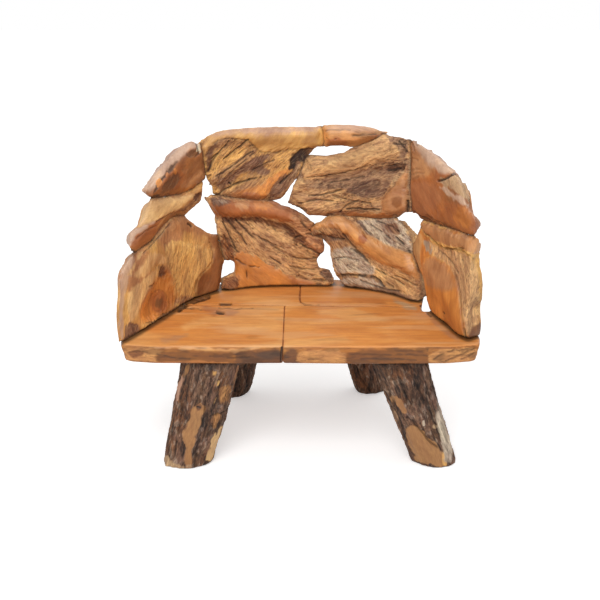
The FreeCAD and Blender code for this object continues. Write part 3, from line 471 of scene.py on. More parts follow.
CRACKS["seat"] = (
    (2.5, 7, 1.0, "221,304 230,304"),
    (2.0, 6, 1.0, "217,312 223,313"),
    # A groove darkened with painted shade in the corner by the left arm's foot.
    (2.4, 6, 0.95, "179,310 187,304 196,302 209,297"),
    (1.3, 4, 0.7, "184,308 196,308 201,309"),
    (1.0, 2, 0.5, "219,308 239,309 253,308"),
    (1.3, 6, 1.0, "282,347 282,353 281,362"),
    (1.0, 1.5, 0.5, "300,291 299,300 304,305 319,305"),
    (1.2, 3, 0.6, "427,313 431,316"),
    (1.0, 2, 0.5, "440,353 454,351 469,349"),
    (1.0, 2, 0.5, "127,353 139,351 147,353"),
    (1.0, 2, 0.4, "441,356 461,356 476,353"),
    (1.3, 2, 0.6, "434,359 443,354 454,350"),
    (1.3, 2, 0.6, "446,361 459,356 474,349"),
    (1.2, 2, 0.6, "461,359 474,354"),
    (1.3, 2, 0.55, "350,354 376,355 404,354 427,356"),
    (1.2, 2, 0.5, "361,359 390,359 416,360"),
    (1.3, 2, 0.6, "157,354 171,358 190,359"),
    (1.2, 2, 0.5, "210,356 233,358 253,357"),
)
CRACKS["leg_front_left"] = (
    (1.4, 4, 0.9, "197,407 200,408"),
    (1.4, 5, 0.6, "199,436 197,450 194,464"),
    (1.4, 5, 0.6, "206,397 204,419 199,436"),
    (1.3, 5, 0.6, "182,404 180,421 177,441 174,459"),
    (1.3, 5, 0.6, "211,379 209,393 207,401"),
    (1.3, 4, 0.6, "200,370 197,383 191,397"),
    (1.3, 4, 0.6, "230,407 221,413 210,416"),
)
CRACKS["leg_front_right"] = (
    (1.4, 5, 0.6, "407,417 420,430 430,443 441,449"),
    (1.3, 5, 0.6, "411,367 416,384 424,401"),
    (1.3, 5, 0.6, "397,367 400,386 411,404"),
    (1.3, 5, 0.6, "426,393 431,414 440,436"),
    (1.3, 4, 0.6, "384,379 389,390 397,410 406,424"),
    (1.4, 5, 0.6, "434,386 437,393 439,410"),
)
CRACKS["leg_rear_left"] = (
    (1.3, 4, 0.5, "241,371 240,386 237,399"),
    (1.3, 4, 0.5, "249,371 246,393"),
)
CRACKS["leg_rear_right"] = (
    (1.3, 4, 0.5, "356,366 361,379 370,391"),
)

# Each block: its wood, the wood it drifts to, how eroded it is at the front and on its other sides,
# the way that its fibres run, and how much they bow. On the back the fibres' way is an angle up from
# level, following the wall round; elsewhere it is a direction.
ROOTS = {
    "arm_left_lower": ("clay", "gold", 0.3, 0.5, (0.15, 0.25, 0.95), 0.0),
    "arm_left_middle": ("gold", "russet", 0.3, 0.5, (0.45, 0.85, 0.25), 0.0),
    "arm_left_upper": ("chestnut", "russet", 0.1, 0.4, (0.35, 0.75, 0.55), 0.0),
    "arm_right_upper": ("russet", "chestnut", 0.06, 0.4, (-0.35, 0.75, 0.5), 0.0),
    "arm_right_lower": ("amber", "gold", 0.25, 0.5, (-0.1, 0.3, 0.95), 0.0),
    "back_upper_left": ("gold", "tan", 0.95, 0.8, 38, 0.3),
    "top_rail_right": ("caramel", "russet", 0.05, 0.3, -4, 0.0),
    "back_upper_right": ("tan", "driftwood", 1.0, 0.8, 14, 0.2),
    "back_lower_left": ("sand", "tan", 0.9, 0.8, -34, 1.1),
    "back_lower_right": ("sand", "tan", 0.85, 0.8, -30, 0.8),
}
BOARDS = (
    "seat_board_front_left", "seat_board_front_right", "seat_board_rear_left", "seat_board_rear_right",
)
LEGS = ("leg_front_left", "leg_front_right", "leg_rear_left", "leg_rear_right")
FIXINGS = ("seat_loose_tenons", "wall_foot_dowels", "wall_loose_tenons")

# The slit between the back and the right arm, in pixels of the photograph, and the pieces that are
# cut back to leave it open. The cut runs along the camera's rays, between these distances.
SLIT = ((420.8, 311.6), (422.6, 302), (425.3, 291), (426.6, 291), (428.8, 300), (431.8, 311.6))
SLIT_PIECES = ("back_lower_right", "seat_board_front_right", "seat_board_rear_right")
SLIT_REACH = (3.4, 3.9)

# The cells of each skin, in metres: the smooth rail needs the finest. A point further than a share
# of a cell from the middle of its neighbours is a spike.
RAIL_CELL = 0.005
SEAT_CELL = 0.006
BLOCK_CELL = 0.0075
LEG_CELL = 0.008
SPIKE_SHARE = 0.42

# Relief is written in millimetres, this many to a metre. On the faces of a root block it stays
# between two heights.
MILLIMETRES = 1000.0
RELIEF_LIMITS = (-14, 10)

# How far, in pixels, a patch can fray and a crack can reach beyond the points that it is drawn with.
PATCH_MARGIN = 9
CRACK_MARGIN = 4

# Edges are worn round more and more between these distances from the next piece, and beyond them.
JOINT_REACH = (0.006, 0.03)

# The wall curves round this line, behind the seat's front edge, at about this radius.
WALL_MIDDLE = SEAT_FRONT + 0.20
WALL_RADIUS = 0.52

# Each seed picks another field of noise: a first seed, and the step from one piece to the next. The
# boards share one seed, so that their tones run on across the seams.
ROOT_SEEDS = (100, 90)
LEG_SEEDS = (500, 60)
SEAT_SEED = 20
RANDOM = np.random.default_rng(17)
ORDER = RANDOM.permutation(256).astype(np.int32)
SLOPES = RANDOM.normal(size=(256, 3)).astype(np.float32)
SLOPES /= np.linalg.norm(SLOPES, axis=1)[:, None]


def noise(points, seed=0):
    """Smooth noise between about -1 and 1 at each of an array of points, one lump to a unit."""
    points = points.astype(np.float32)
    cell = np.floor(points).astype(np.int32)
    part = points - cell
    fade = part * part * part * (part * (part * 6 - 15) + 10)
    total = np.zeros(len(points), np.float32)
    rows = [ORDER[(cell[:, 0] + step + seed * 37) & 255] for step in (0, 1)]
    for right in (0, 1):
        for deep in (0, 1):
            column = ORDER[(rows[right] + cell[:, 1] + deep) & 255]
            for up in (0, 1):
                slope = SLOPES[ORDER[(column + cell[:, 2] + up) & 255]]
                value = slope[:, 0] * (part[:, 0] - right)
                value += slope[:, 1] * (part[:, 1] - deep)
                value += slope[:, 2] * (part[:, 2] - up)
                for axis, side in enumerate((right, deep, up)):
                    value *= fade[:, axis] if side else 1 - fade[:, axis]
                total += value
    return total * 1.6


def layers(points, seed, count=3):
    """Noise of several sizes added up."""
    total = np.zeros(len(points))
    for octave in range(count):
        total += noise(points * 2.0**octave, seed + octave) * 0.5**octave
    return total


def ease(low, high, value):
    """0 below low, 1 above high, smooth between."""
    share = np.clip((value - low) / (high - low), 0, 1)
    return share * share * (3 - 2 * share)


def ridges(points, seed):
    """Sharp crests, 1 at a crest and 0 in the middle of a furrow."""
    return 1 - np.minimum(1, np.abs(noise(points, seed)) * 2.2)


def pixels(points):
    """Where points show in the photograph."""
    across, ahead, above = (points - np.array(EYE)).T
    depth = ahead * math.cos(PITCH) - above * math.sin(PITCH)
    lift = ahead * math.sin(PITCH) + above * math.cos(PITCH)
    right = AXIS_PIXEL[0] + FOCAL_PIXELS * across / depth
    down = AXIS_PIXEL[1] - FOCAL_PIXELS * lift / depth
    return np.stack((right, down), axis=1)


def squareness(points, normals):
    """How squarely a surface looks at the camera: 1 straight at it, 0 edge on, below 0 away from it."""
    sight = np.array(EYE) - points
    sight /= np.linalg.norm(sight, axis=1)[:, None]
    return np.einsum("ij,ij->i", normals, sight)


def spots_of(text):
    """The points of an outline or a line, which is written as across,down for each."""
    return [tuple(float(number) for number in spot.split(",")) for spot in text.split()]


def reach(spots, line):
    """How far spots are from a line of straight runs."""
    best = np.full(len(spots), 1e9)
    for start, end in zip(line[:-1], line[1:]):
        start = np.array(start)
        run = np.array(end) - start
        along = np.clip((spots - start) @ run / max(run @ run, 1e-9), 0, 1)
        away = spots - start - along[:, None] * run
        best = np.minimum(best, np.hypot(away[:, 0], away[:, 1]))
    return best


def within(spots, outline):
    """How far spots are inside an outline, and below zero outside it."""
    odd = np.zeros(len(spots), bool)
    for start, end in zip(outline, outline[1:] + outline[:1]):
        if start[1] == end[1]:
            continue
        crosses = (spots[:, 1] < start[1]) != (spots[:, 1] < end[1])
        side = start[0] + (spots[:, 1] - start[1]) * (end[0] - start[0]) / (end[1] - start[1])
        odd ^= crosses & (spots[:, 0] < side)
    away = reach(spots, outline + outline[:1])
    return np.where(odd, away, -away)


def rounded_line(line, closed):
    """A line with its corners cut off twice, so that it runs in curves."""
    spots = np.array(line, float)
    for _ in range(2):
        following = np.roll(spots, -1, axis=0) if closed else spots[1:]
        first = spots if closed else spots[:-1]
        cut = np.stack((first * 0.75 + following * 0.25, first * 0.25 + following * 0.75), axis=1)
        cut = cut.reshape(-1, 2)
        spots = cut if closed else np.vstack((spots[:1], cut, spots[-1:]))
    return [tuple(spot) for spot in spots]


def around(spots, line, margin):
    """Which spots lie in the box round a line."""
    low = np.min(line, axis=0) - margin
    high = np.max(line, axis=0) + margin
    return np.flatnonzero(((spots > low) & (spots < high)).all(axis=1))


def placed(name, data):
    """An object of its own in the scene."""
    thing = bpy.data.objects.new(name, data)
    bpy.context.scene.collection.objects.link(thing)
    return thing


def baked(piece):
    """Works a piece's modifiers into its mesh."""
    graph = bpy.context.evaluated_depsgraph_get()
    mesh = bpy.data.meshes.new_from_object(piece.evaluated_get(graph))
    piece.modifiers.clear()
    piece.data = mesh
    return mesh


def tree_of(meshes):
    """What some meshes, taken together, are looked up in."""
    shape = bmesh.new()
    for mesh in meshes:
        shape.from_mesh(mesh)
    found = BVHTree.FromBMesh(shape)
    shape.free()
    return found


def read(mesh):
    """A mesh's points and their outward directions."""
    points = np.empty(len(mesh.vertices) * 3)
    mesh.vertices.foreach_get("co", points)
    normals = np.empty(len(mesh.vertices) * 3)
    mesh.vertex_normals.foreach_get("vector", normals)
    return points.reshape(-1, 3), normals.reshape(-1, 3)


def slit_cutter():
    """A wedge that fills the slit as the camera sees it."""
    ends = []
    for far in SLIT_REACH:
        for across, down in SLIT:
            lift = (AXIS_PIXEL[1] - down) / FOCAL_PIXELS
            ahead = math.cos(PITCH) + lift * math.sin(PITCH)
            above = lift * math.cos(PITCH) - math.sin(PITCH)
            ray = Vector(((across - AXIS_PIXEL[0]) / FOCAL_PIXELS, ahead, above))
            ends.append(EYE + ray * far)
    count = len(SLIT)
    faces = [tuple(range(count)), tuple(range(2 * count - 1, count - 1, -1))]
    for corner in range(count):
        after = (corner + 1) % count
        faces.append((after, corner, corner + count, after + count))
    mesh = bpy.data.meshes.new("slit")
    mesh.from_pydata(ends, [], faces)
    shape = bmesh.new()
    shape.from_mesh(mesh)
    bmesh.ops.recalc_face_normals(shape, faces=shape.faces)
    shape.to_mesh(mesh)
    shape.free()
    return placed("slit", mesh)


def copied(node):
    """A piece with a node's own shape, cut back where the slit runs through it."""
    piece = placed(node + "_carved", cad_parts[node].data.copy())
    piece.data.materials.clear()
    if node in SLIT_PIECES:
        cutter = slit_cutter()
        cut = piece.modifiers.new("cut", "BOOLEAN")
        cut.operation = "DIFFERENCE"
        cut.object = cutter
        baked(piece)
        bpy.data.objects.remove(cutter)
    return piece


def smooth(piece, iterations, group=""):
    """Wears a piece's edges round, where its points are in a group."""
    worn = piece.modifiers.new("worn", "SMOOTH")
    worn.iterations = iterations
    worn.vertex_group = group


def drawn_in(mesh, limit):
    """Draws points that stick out like a spike back to the middle of their neighbours."""
    pairs = np.empty(len(mesh.edges) * 2, np.int32)
    mesh.edges.foreach_get("vertices", pairs)
    start, end = pairs.reshape(-1, 2).T
    points = read(mesh)[0]
    size = len(points)
    count = np.maximum(np.bincount(pairs, minlength=size), 1)
    for _ in range(4):
        middle = np.empty_like(points)
        for axis in range(3):
            total = np.bincount(start, points[end, axis], size)
            total += np.bincount(end, points[start, axis], size)
            middle[:, axis] = total / count
        spiky = np.linalg.norm(points - middle, axis=1) > limit
        points[spiky] = middle[spiky]
    mesh.vertices.foreach_set("co", points.ravel())
    mesh.update()


def carved(node, cell, levels, others, rounding):
    """A fine even skin over a node's shape, its free edges worn round, as an object of its own."""
    piece = copied(node)
    faces = tree_of([piece.data])
    neighbours = tree_of([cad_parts[other].data for other in others])
    skin = piece.modifiers.new("skin", "REMESH")
    skin.mode = "VOXEL"
    skin.voxel_size = cell
    skin.use_smooth_shade = True
    smooth(piece, 2)
    mesh = baked(piece)
    for vertex in mesh.vertices:
        vertex.co = faces.find_nearest(vertex.co)[0]
    distance = np.array([neighbours.find_nearest(vertex.co)[3] for vertex in mesh.vertices])
    free = ease(*JOINT_REACH, distance)
    group = piece.vertex_groups.new(name="free")
    for tenth in range(1, 11):
        some = np.flatnonzero(np.rint(free * 10) == tenth)
        group.add(some.tolist(), tenth / 10, "REPLACE")
    smooth(piece, 2)
    smooth(piece, rounding, "free")
    mesh = baked(piece)
    held = 0.6 * (1 - 0.9 * free)
    for vertex, share in zip(mesh.vertices, held):
        vertex.co = vertex.co.lerp(faces.find_nearest(vertex.co)[0], share)
    drawn_in(mesh, SPIKE_SHARE * cell)
    mesh.attributes.new("near", "FLOAT", "POINT").data.foreach_set("value", distance)
    finer = piece.modifiers.new("finer", "SUBSURF")
    finer.levels = levels
    finer.render_levels = levels
    baked(piece)
    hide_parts(node)
    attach(piece, "root")
    return piece


def nearness(mesh, low, high):
    """1 where another piece is close by, fading to 0 at a distance."""
    distance = np.empty(len(mesh.vertices))
    mesh.attributes["near"].data.foreach_get("value", distance)
    return ease(high, low, distance)


def finished(piece, points, grain, tint, wear_and_shade):
    """Moves a piece's points, and stores colour, wear with painted shade, and place along the fibres."""
    mesh = piece.data
    mesh.vertices.foreach_set("co", points.ravel())
    mesh.update()
    opaque = np.ones((len(points), 1))
    for name, values in (("tint", tint), ("wear_and_shade", np.stack(wear_and_shade, axis=1))):
        layer = mesh.attributes.new(name, "FLOAT_COLOR", "POINT")
        layer.data.foreach_set("color", np.hstack((np.clip(values, 0, 1), opaque)).ravel())
    layer = mesh.attributes.new("grain", "FLOAT_VECTOR", "POINT")
    layer.data.foreach_set("vector", grain.ravel())
    return piece


def along_fibres(points, way, bow=0.0):
    """Places along, across and through the fibres, in metres."""
    if isinstance(way, tuple):
        first = Vector(way).normalized()
        second = first.cross(Vector((0.35, -0.9, 0.2))).normalized()
        third = first.cross(second)
        return points @ np.array((first, second, third)).T
    behind = points[:, 1] - WALL_MIDDLE
    level = np.arctan2(points[:, 0], behind) * WALL_RADIUS
    rise = math.radians(way)
    away = level - level.mean()
    along = level * math.cos(rise) + points[:, 2] * math.sin(rise)
    across = points[:, 2] * math.cos(rise) - level * math.sin(rise) - bow * away * away
    return np.stack((along, across, np.hypot(points[:, 0], behind)), axis=1)


def stain(tint, wood, share, strength=1.0):
    """Moves colours toward a wood's by a share."""
    tint += (WOODS[wood] * strength - tint) * share[:, None]


def drifting(wood, other, share):
    """Colours that go from one wood's to another's."""
    return WOODS[wood] + (WOODS[other] - WOODS[wood]) * share[:, None]


def darken(dark, share):
    """Darkens by a share of the light that is left."""
    dark += (1 - dark) * share


def marked(name, points, normals, grain, tint, worn, lift, dark, seed):
    """Lays a piece's patches and cracks, read from the photograph, on what faces the camera."""
    spots = pixels(points)
    facing = ease(0.02, 0.22, squareness(points, normals))
    frayed = 1.6 * layers(points * 28, seed, 3) + 1.5 * noise(grain * (16, 105, 105), seed + 5)
    broken = ease(-0.75, -0.1, noise(points * 40, seed + 7))
    spots[:, 1] += noise(points * 45, seed + 8) * 0.9
    for wood, eroded, raised, soft, text in PATCHES.get(name, ()):
        outline = spots_of(text)
        some = around(spots, outline, PATCH_MARGIN)
        inside = within(spots[some], rounded_line(outline, True)) + frayed[some]
        share = ease(-soft * 0.6, soft * 0.6, inside) * facing[some]
        swell = ease(-soft * 0.8, soft * 1.8, inside) * facing[some]
        tint[some] += (WOODS[wood] - tint[some]) * share[:, None]
        worn[some] += (eroded - worn[some]) * share
        lift[some] += raised * swell
    for width, depth, shade, text in CRACKS.get(name, ()):
        line = spots_of(text)
        some = around(spots, line, CRACK_MARGIN)
        away = reach(spots[some], rounded_line(line, False)) / width
        share = (1 - ease(0.2, 1.15, away)) * facing[some]
        share *= np.maximum(broken[some], float(shade >= 1))
        lift[some] -= depth * share
        dark[some] += (shade - dark[some]) * share * (shade > dark[some])


def unseen_sides(points, grain, side, slow, side_worn, tint, worn, seed):
    """The sides away from the camera: pale worn bands between furrows, and long drying checks."""
    patchy = ease(-0.15, 0.2, layers(points * 5, seed + 21, 2))
    worn += side_worn * (0.35 + 0.65 * patchy) * side
    stain(tint, "chestnut", side * (0.10 + 0.45 * (1 - patchy)))
    stain(tint, "umber", side * 0.35 * ease(0.1, 0.5, slow))
    band = ease(0.62, 0.9, ridges(grain * (2.6, 6.5, 5) + 3.7, seed + 27)) * side
    stain(tint, "caramel", 0.6 * band)
    worn *= 1 - 0.9 * band
    furrows = ridges(grain * (4, 17, 13), seed + 131)
    coarse = side * side_worn / 0.8
    lift = (band * 4.0 + layers(grain * (5, 13, 10), seed + 121, 2) * 5.0) * coarse
    lift += coarse * (1 - band) * (furrows - 0.6) * 6.0
    dark = coarse * (1 - band) * 0.4 * ease(0.45, 0.0, furrows)
    checks = ease(0.90, 0.98, ridges(grain * (1.1, 21, 8), seed + 141)) * side
    checks *= ease(-0.05, 0.3, noise(grain * (5, 9, 9), seed + 143))
    lift -= checks * 3.5
    darken(dark, 0.7 * checks)
    return lift, dark


def figure_and_painted_light(normals, grain, tint, worn, seed):
    """The figure of the wood, with a painted highlight where it looks up and painted shade where it looks
    down.
    """
    polished = 1 - worn
    swirl = layers(grain * (5, 17, 17), seed + 101, 3)
    tint *= 1 + (ease(0.05, 0.6, swirl) * (0.22 * polished + 0.16 * worn))[:, None] * (1.0, 1.0, 0.6)
    tint *= 1 - (ease(0.05, 0.6, -swirl) * (0.26 * polished + 0.10 * worn))[:, None] * (0.8, 1.0, 1.1)
    stain(tint, "plum", ease(0.1, 0.6, -swirl) * 0.35 * worn)
    # Painted highlight on polished wood that looks up.
    stain(tint, "blush", ease(0.45, 0.95, normals[:, 2]) * 0.30 * polished)
    # Painted shade on wood that looks down.
    stain(tint, "chestnut", ease(0.1, 0.7, -normals[:, 2]) * 0.6, 0.8)


def eroded_relief(points, grain, worn, lift, seed):
    """Raises ropes and fine ribs of hard fibre, with hollows and pits between them.

    Returns how dark the furrows and the holes are, partly painted shade, and how pale the crests, partly
    a painted highlight."""
    ropes = ridges(grain * (7, 30, 22), seed + 31)
    fine = ridges(grain * (22, 100, 75), seed + 41)
    hollow = ease(0.15, 0.6, layers(grain * (12, 28, 22), seed + 51, 2))
    rotten = ease(-0.05, 0.35, layers(points * 9, seed + 57, 2))
    pits = ease(0.28, 0.5, noise(grain * (75, 130, 110), seed + 61)) * rotten
    lift += worn * ((ropes - 0.5) * 1.9 + (fine - 0.5) * 1.7 - hollow * 2.4 - pits * 2.0)
    lift += (1 - worn) * (layers(points * 12, seed + 71, 2) * 3.2 + (ropes - 0.5) * 0.3)
    lift += layers(points * 5, seed + 81, 2) * 2.5
    furrows = worn * (0.08 * ease(0.6, 0.1, ropes) + 0.15 * ease(0.5, 0.05, fine))
    holes = worn * (0.14 * hollow + 0.45 * pits)
    return furrows, holes, np.clip(worn * ease(0.6, 1.0, fine) * 0.45, 0, 1)


def rim_of(points, normals):
    """1 on a block's edges and 0 on the faces of the wall, which look at its middle line or away."""
    level = np.zeros(len(points))
    outward = np.stack((points[:, 0], points[:, 1] - WALL_MIDDLE, level), axis=1)
    outward /= np.linalg.norm(outward, axis=1)[:, None]
    return ease(0.75, 0.35, np.abs(np.einsum("ij,ij->i", normals, outward)))


def root_block(node, wood, drift, front_worn, side_worn, way, bow, seed):
    """One block of root wood: worn smooth where it was polished, furrowed where it was left."""
    cell = RAIL_CELL if node == "top_rail_right" else BLOCK_CELL
    rounding = 4 if front_worn > 0.5 else 12
    piece = carved(node, cell, 2, [other for other in ROOTS if other != node], rounding)
    points, normals = read(piece.data)
    near = nearness(piece.data, 0.006, 0.026)
    grain = along_fibres(points, way, bow)
    bend = np.stack((layers(points * 7, seed, 2), layers(points * 9, seed + 3, 2)), axis=1)
    grain[:, 1:] += bend * 0.014
    slow = layers(points * 6, seed + 11, 2)
    tint = drifting(wood, drift, ease(-0.25, 0.35, slow))
    front = ease(-0.1, 0.25, squareness(points, normals))
    worn = front_worn * front
    lift, dark = unseen_sides(points, grain, 1 - front, slow, side_worn, tint, worn, seed)
    marked(node, points, normals, grain, tint, worn, lift, dark, seed)
    figure_and_painted_light(normals, grain, tint, worn, seed)
    furrows, holes, pale = eroded_relief(points, grain, worn, lift, seed)
    rim = rim_of(points, normals)
    waves = layers(points * 15, seed + 91, 2) * (0.6 + 2.4 * worn)
    bias = near * 5.0 + (1 - near) * (1.5 + waves)
    lift = np.clip(lift, *RELIEF_LIMITS) * (1 - 0.65 * rim) + bias * rim
    # Furrows and holes darkened, partly with painted shade.
    darken(dark, furrows)
    darken(dark, holes)
    # Painted shade on the edges, where another piece is close.
    darken(dark, 0.72 * nearness(piece.data, 0.004, 0.015) * rim)
    # Painted shadow along the foot of the wall, where it meets the seat.
    darken(dark, 0.75 * ease(SEAT_TOP + 0.011, SEAT_TOP + 0.002, points[:, 2]))
    points += normals * (lift / MILLIMETRES)[:, None]
    points[:, 2] = np.maximum(points[:, 2], SEAT_TOP - 0.002)
    return finished(piece, points, grain, tint, (worn, dark, pale))


def seat_board(node):
    """One board of the slab seat, planed and oiled, with a rough natural edge at the front."""
    seed = SEAT_SEED
    piece = carved(node, SEAT_CELL, 1, ROOTS, 0)
    points, normals = read(piece.data)
    grain = points.copy()
    grain[:, 1] += layers(points * (1.5, 4, 1), seed, 2) * 0.03
    slow = layers(points * (2.2, 7, 3), seed + 5, 2)
    tint = drifting("honey", "peach", ease(-0.2, 0.5, slow))
    below = ease(0.2, 0.7, -normals[:, 2])
    worn = 0.04 + 0.6 * below
    stain(tint, "chestnut", below)
    lift = np.zeros(len(points))
    dark = np.zeros(len(points))
    edge = ease(0.25, 0.7, -normals[:, 1]) * (np.abs(normals[:, 2]) < 0.7)
    brown = 0.75 + 0.5 * ease(SEAT_TOP - 0.012, SEAT_TOP - 0.04, points[:, 2])
    stain(tint, "walnut", edge * 0.6 * brown)
    worn += (0.8 - worn) * edge
    marked("seat", points, normals, grain, tint, worn, lift, dark, seed)
    lift += layers(points * 6, seed + 9, 2) * 0.9 * (1 - below)
    lift += edge * layers(points * (9, 9, 22), seed + 13, 2) * 2.4
    flank = ease(0.5, 0.9, np.hypot(normals[:, 0], normals[:, 1])) * (1 - edge)
    stain(tint, "russet", flank * (0.55 + 0.45 * ease(-0.3, 0.3, slow)))
    worn += (0.4 - worn) * flank
    lift = lift * (1 - flank) + 0.4 * flank
    darken(dark, ease(0.45, 0.7, noise(points * (9, 22, 5), seed + 17)) * 0.2)
    # Painted shade on the top, near the root blocks standing on it.
    darken(dark, (1 - below) * (1 - edge) * 0.85 * nearness(piece.data, 0.002, 0.022))
    rough = ease(0.0, 0.5, layers(points * (14, 16, 42), seed + 15, 3))
    darken(dark, edge * (0.08 + 0.38 * rough))
    pale = ease(0.05, 0.5, layers(grain * (2.5, 18, 4), seed + 19, 3)) * 0.6 * (1 - edge)
    points += normals * (lift / MILLIMETRES)[:, None]
    chip_ends(points)
    return finished(piece, points, grain, tint, (worn, dark, pale))


def chip_ends(points):
    """Draws in the lower front corners of the seat, where its natural edge runs out."""
    ends = ease(CAD_HIGH.x - 0.05, CAD_HIGH.x - 0.005, np.abs(points[:, 0]))
    ends *= ease(SEAT_FRONT + 0.12, SEAT_FRONT + 0.02, points[:, 1])
    ends *= ease(SEAT_TOP - 0.008, SEAT_TOP - 0.05, points[:, 2])
    points[:, 0] -= np.sign(points[:, 0]) * 0.009 * ends
    points[:, 1] += 0.008 * ends


def leg(node, seed):
    """One leg: a root trunk in its bark, split down its length, cut level at the floor."""
    piece = carved(node, LEG_CELL, 2, BOARDS, 2)
    points, normals = read(piece.data)
    low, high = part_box(node)
    head = points[points[:, 2] > high.z - 0.03].mean(axis=0)
    foot = points[points[:, 2] < low.z + 0.03].mean(axis=0)
    grain = along_fibres(points, tuple((head - foot) / np.linalg.norm(head - foot)))
    bend = np.stack((layers(points * 9, seed, 2), layers(points * 9, seed + 3, 2)), axis=1)
    grain[:, 1:] += bend * 0.008
    tint = drifting("bark", "smoke", ease(-0.3, 0.4, layers(grain * (12, 30, 30), seed + 5, 3)))
    stain(tint, "umber", 0.6 * ease(0.1, 0.5, layers(points * 11, seed + 9, 2)))
    stain(tint, "slate", 0.5 * ease(0.15, 0.5, layers(grain * (32, 80, 80), seed + 7, 3)))
    worn = np.ones(len(points))
    lift = np.zeros(len(points))
    dark = np.zeros(len(points))
    marked(node, points, normals, grain, tint, worn, lift, dark, seed)
    ropes = ridges(grain * (12, 46, 46), seed + 31)
    fine = ridges(grain * (34, 120, 120), seed + 41)
    lift += layers(points * 8, seed + 51, 2) * 2.5
    lift += (ropes - 0.5) * 3.4 * worn + (fine - 0.5) * 2.0 * worn
    darken(dark, worn * (0.55 * ease(0.55, 0.05, ropes) + 0.35 * ease(0.5, 0.1, fine)))
    # Painted shade near the seat boards, under the seat.
    darken(dark, 0.6 * nearness(piece.data, 0.003, 0.03))
    pale = worn * ease(0.85, 1.0, fine) * 0.3
    ends = np.minimum(ease(0.0, 0.02, points[:, 2] - low.z), ease(0.0, 0.015, high.z - points[:, 2]))
    points += normals * (lift * (0.15 + 0.85 * ends) / MILLIMETRES)[:, None]
    points[:, 2] = np.clip(points[:, 2], low.z, high.z)
    return finished(piece, points, grain, tint, (worn, dark, pale))


WHITE = (1.0, 1.0, 1.0, 1.0)


class Nodes:
    """The node tree of a material or of the world, written with short calls."""

    def __init__(self, owner, shader="Principled BSDF"):
        self.owner = owner
        self.owner.use_nodes = True
        self.tree = owner.node_tree
        self.shader = self.tree.nodes[shader]

    def add(self, kind, **settings):
        node = self.tree.nodes.new(kind)
        for key, value in settings.items():
            setattr(node, key, value)
        return node

    def link(self, start, end):
        self.tree.links.new(start, end)

    def fill(self, socket, value):
        """Sets a socket to a number or a colour, or links it to another node's output."""
        if isinstance(value, (int, float, tuple)):
            socket.default_value = value
        else:
            self.link(value, socket)

    def stored(self, name, output="Color"):
        return self.add("ShaderNodeAttribute", attribute_name=name).outputs[output]

    def noise(self, place, stretch, detail, roughness=0.6):
        """Noise stretched along the fibres."""
        scaled = self.add("ShaderNodeVectorMath", operation="MULTIPLY")
        self.fill(scaled.inputs[0], place)
        self.fill(scaled.inputs[1], stretch)
        node = self.add("ShaderNodeTexNoise")
        self.fill(node.inputs["Scale"], 1.0)
        self.fill(node.inputs["Detail"], detail)
        self.fill(node.inputs["Roughness"], roughness)
        self.fill(node.inputs["Vector"], scaled.outputs[0])
        return node.outputs["Fac"]

    def spread(self, value, low, high, to_low, to_high):
        """A value's range moved to another."""
        node = self.add("ShaderNodeMapRange")
        limits = {"From Min": low, "From Max": high, "To Min": to_low, "To Max": to_high}
        for name, limit in limits.items():
            self.fill(node.inputs[name], limit)
        self.link(value, node.inputs["Value"])
        return node.outputs["Result"]

    def sum(self, operation, first, second):
        node = self.add("ShaderNodeMath", operation=operation)
        self.fill(node.inputs[0], first)
        self.fill(node.inputs[1], second)
        return node.outputs[0]

    def mixed(self, share, first, second, blend="MIX"):
        node = self.add("ShaderNodeMix", data_type="RGBA", blend_type=blend)
        sockets = [socket for socket in node.inputs if socket.enabled]
        for socket, value in zip(sockets, (share, first, second)):
            self.fill(socket, value)
        return [socket for socket in node.outputs if socket.enabled][0]

    def grey(self, value):
        """A number as a grey colour."""
        node = self.add("ShaderNodeCombineColor")
        for socket in node.inputs:
            self.link(value, socket)
        return node.outputs[0]


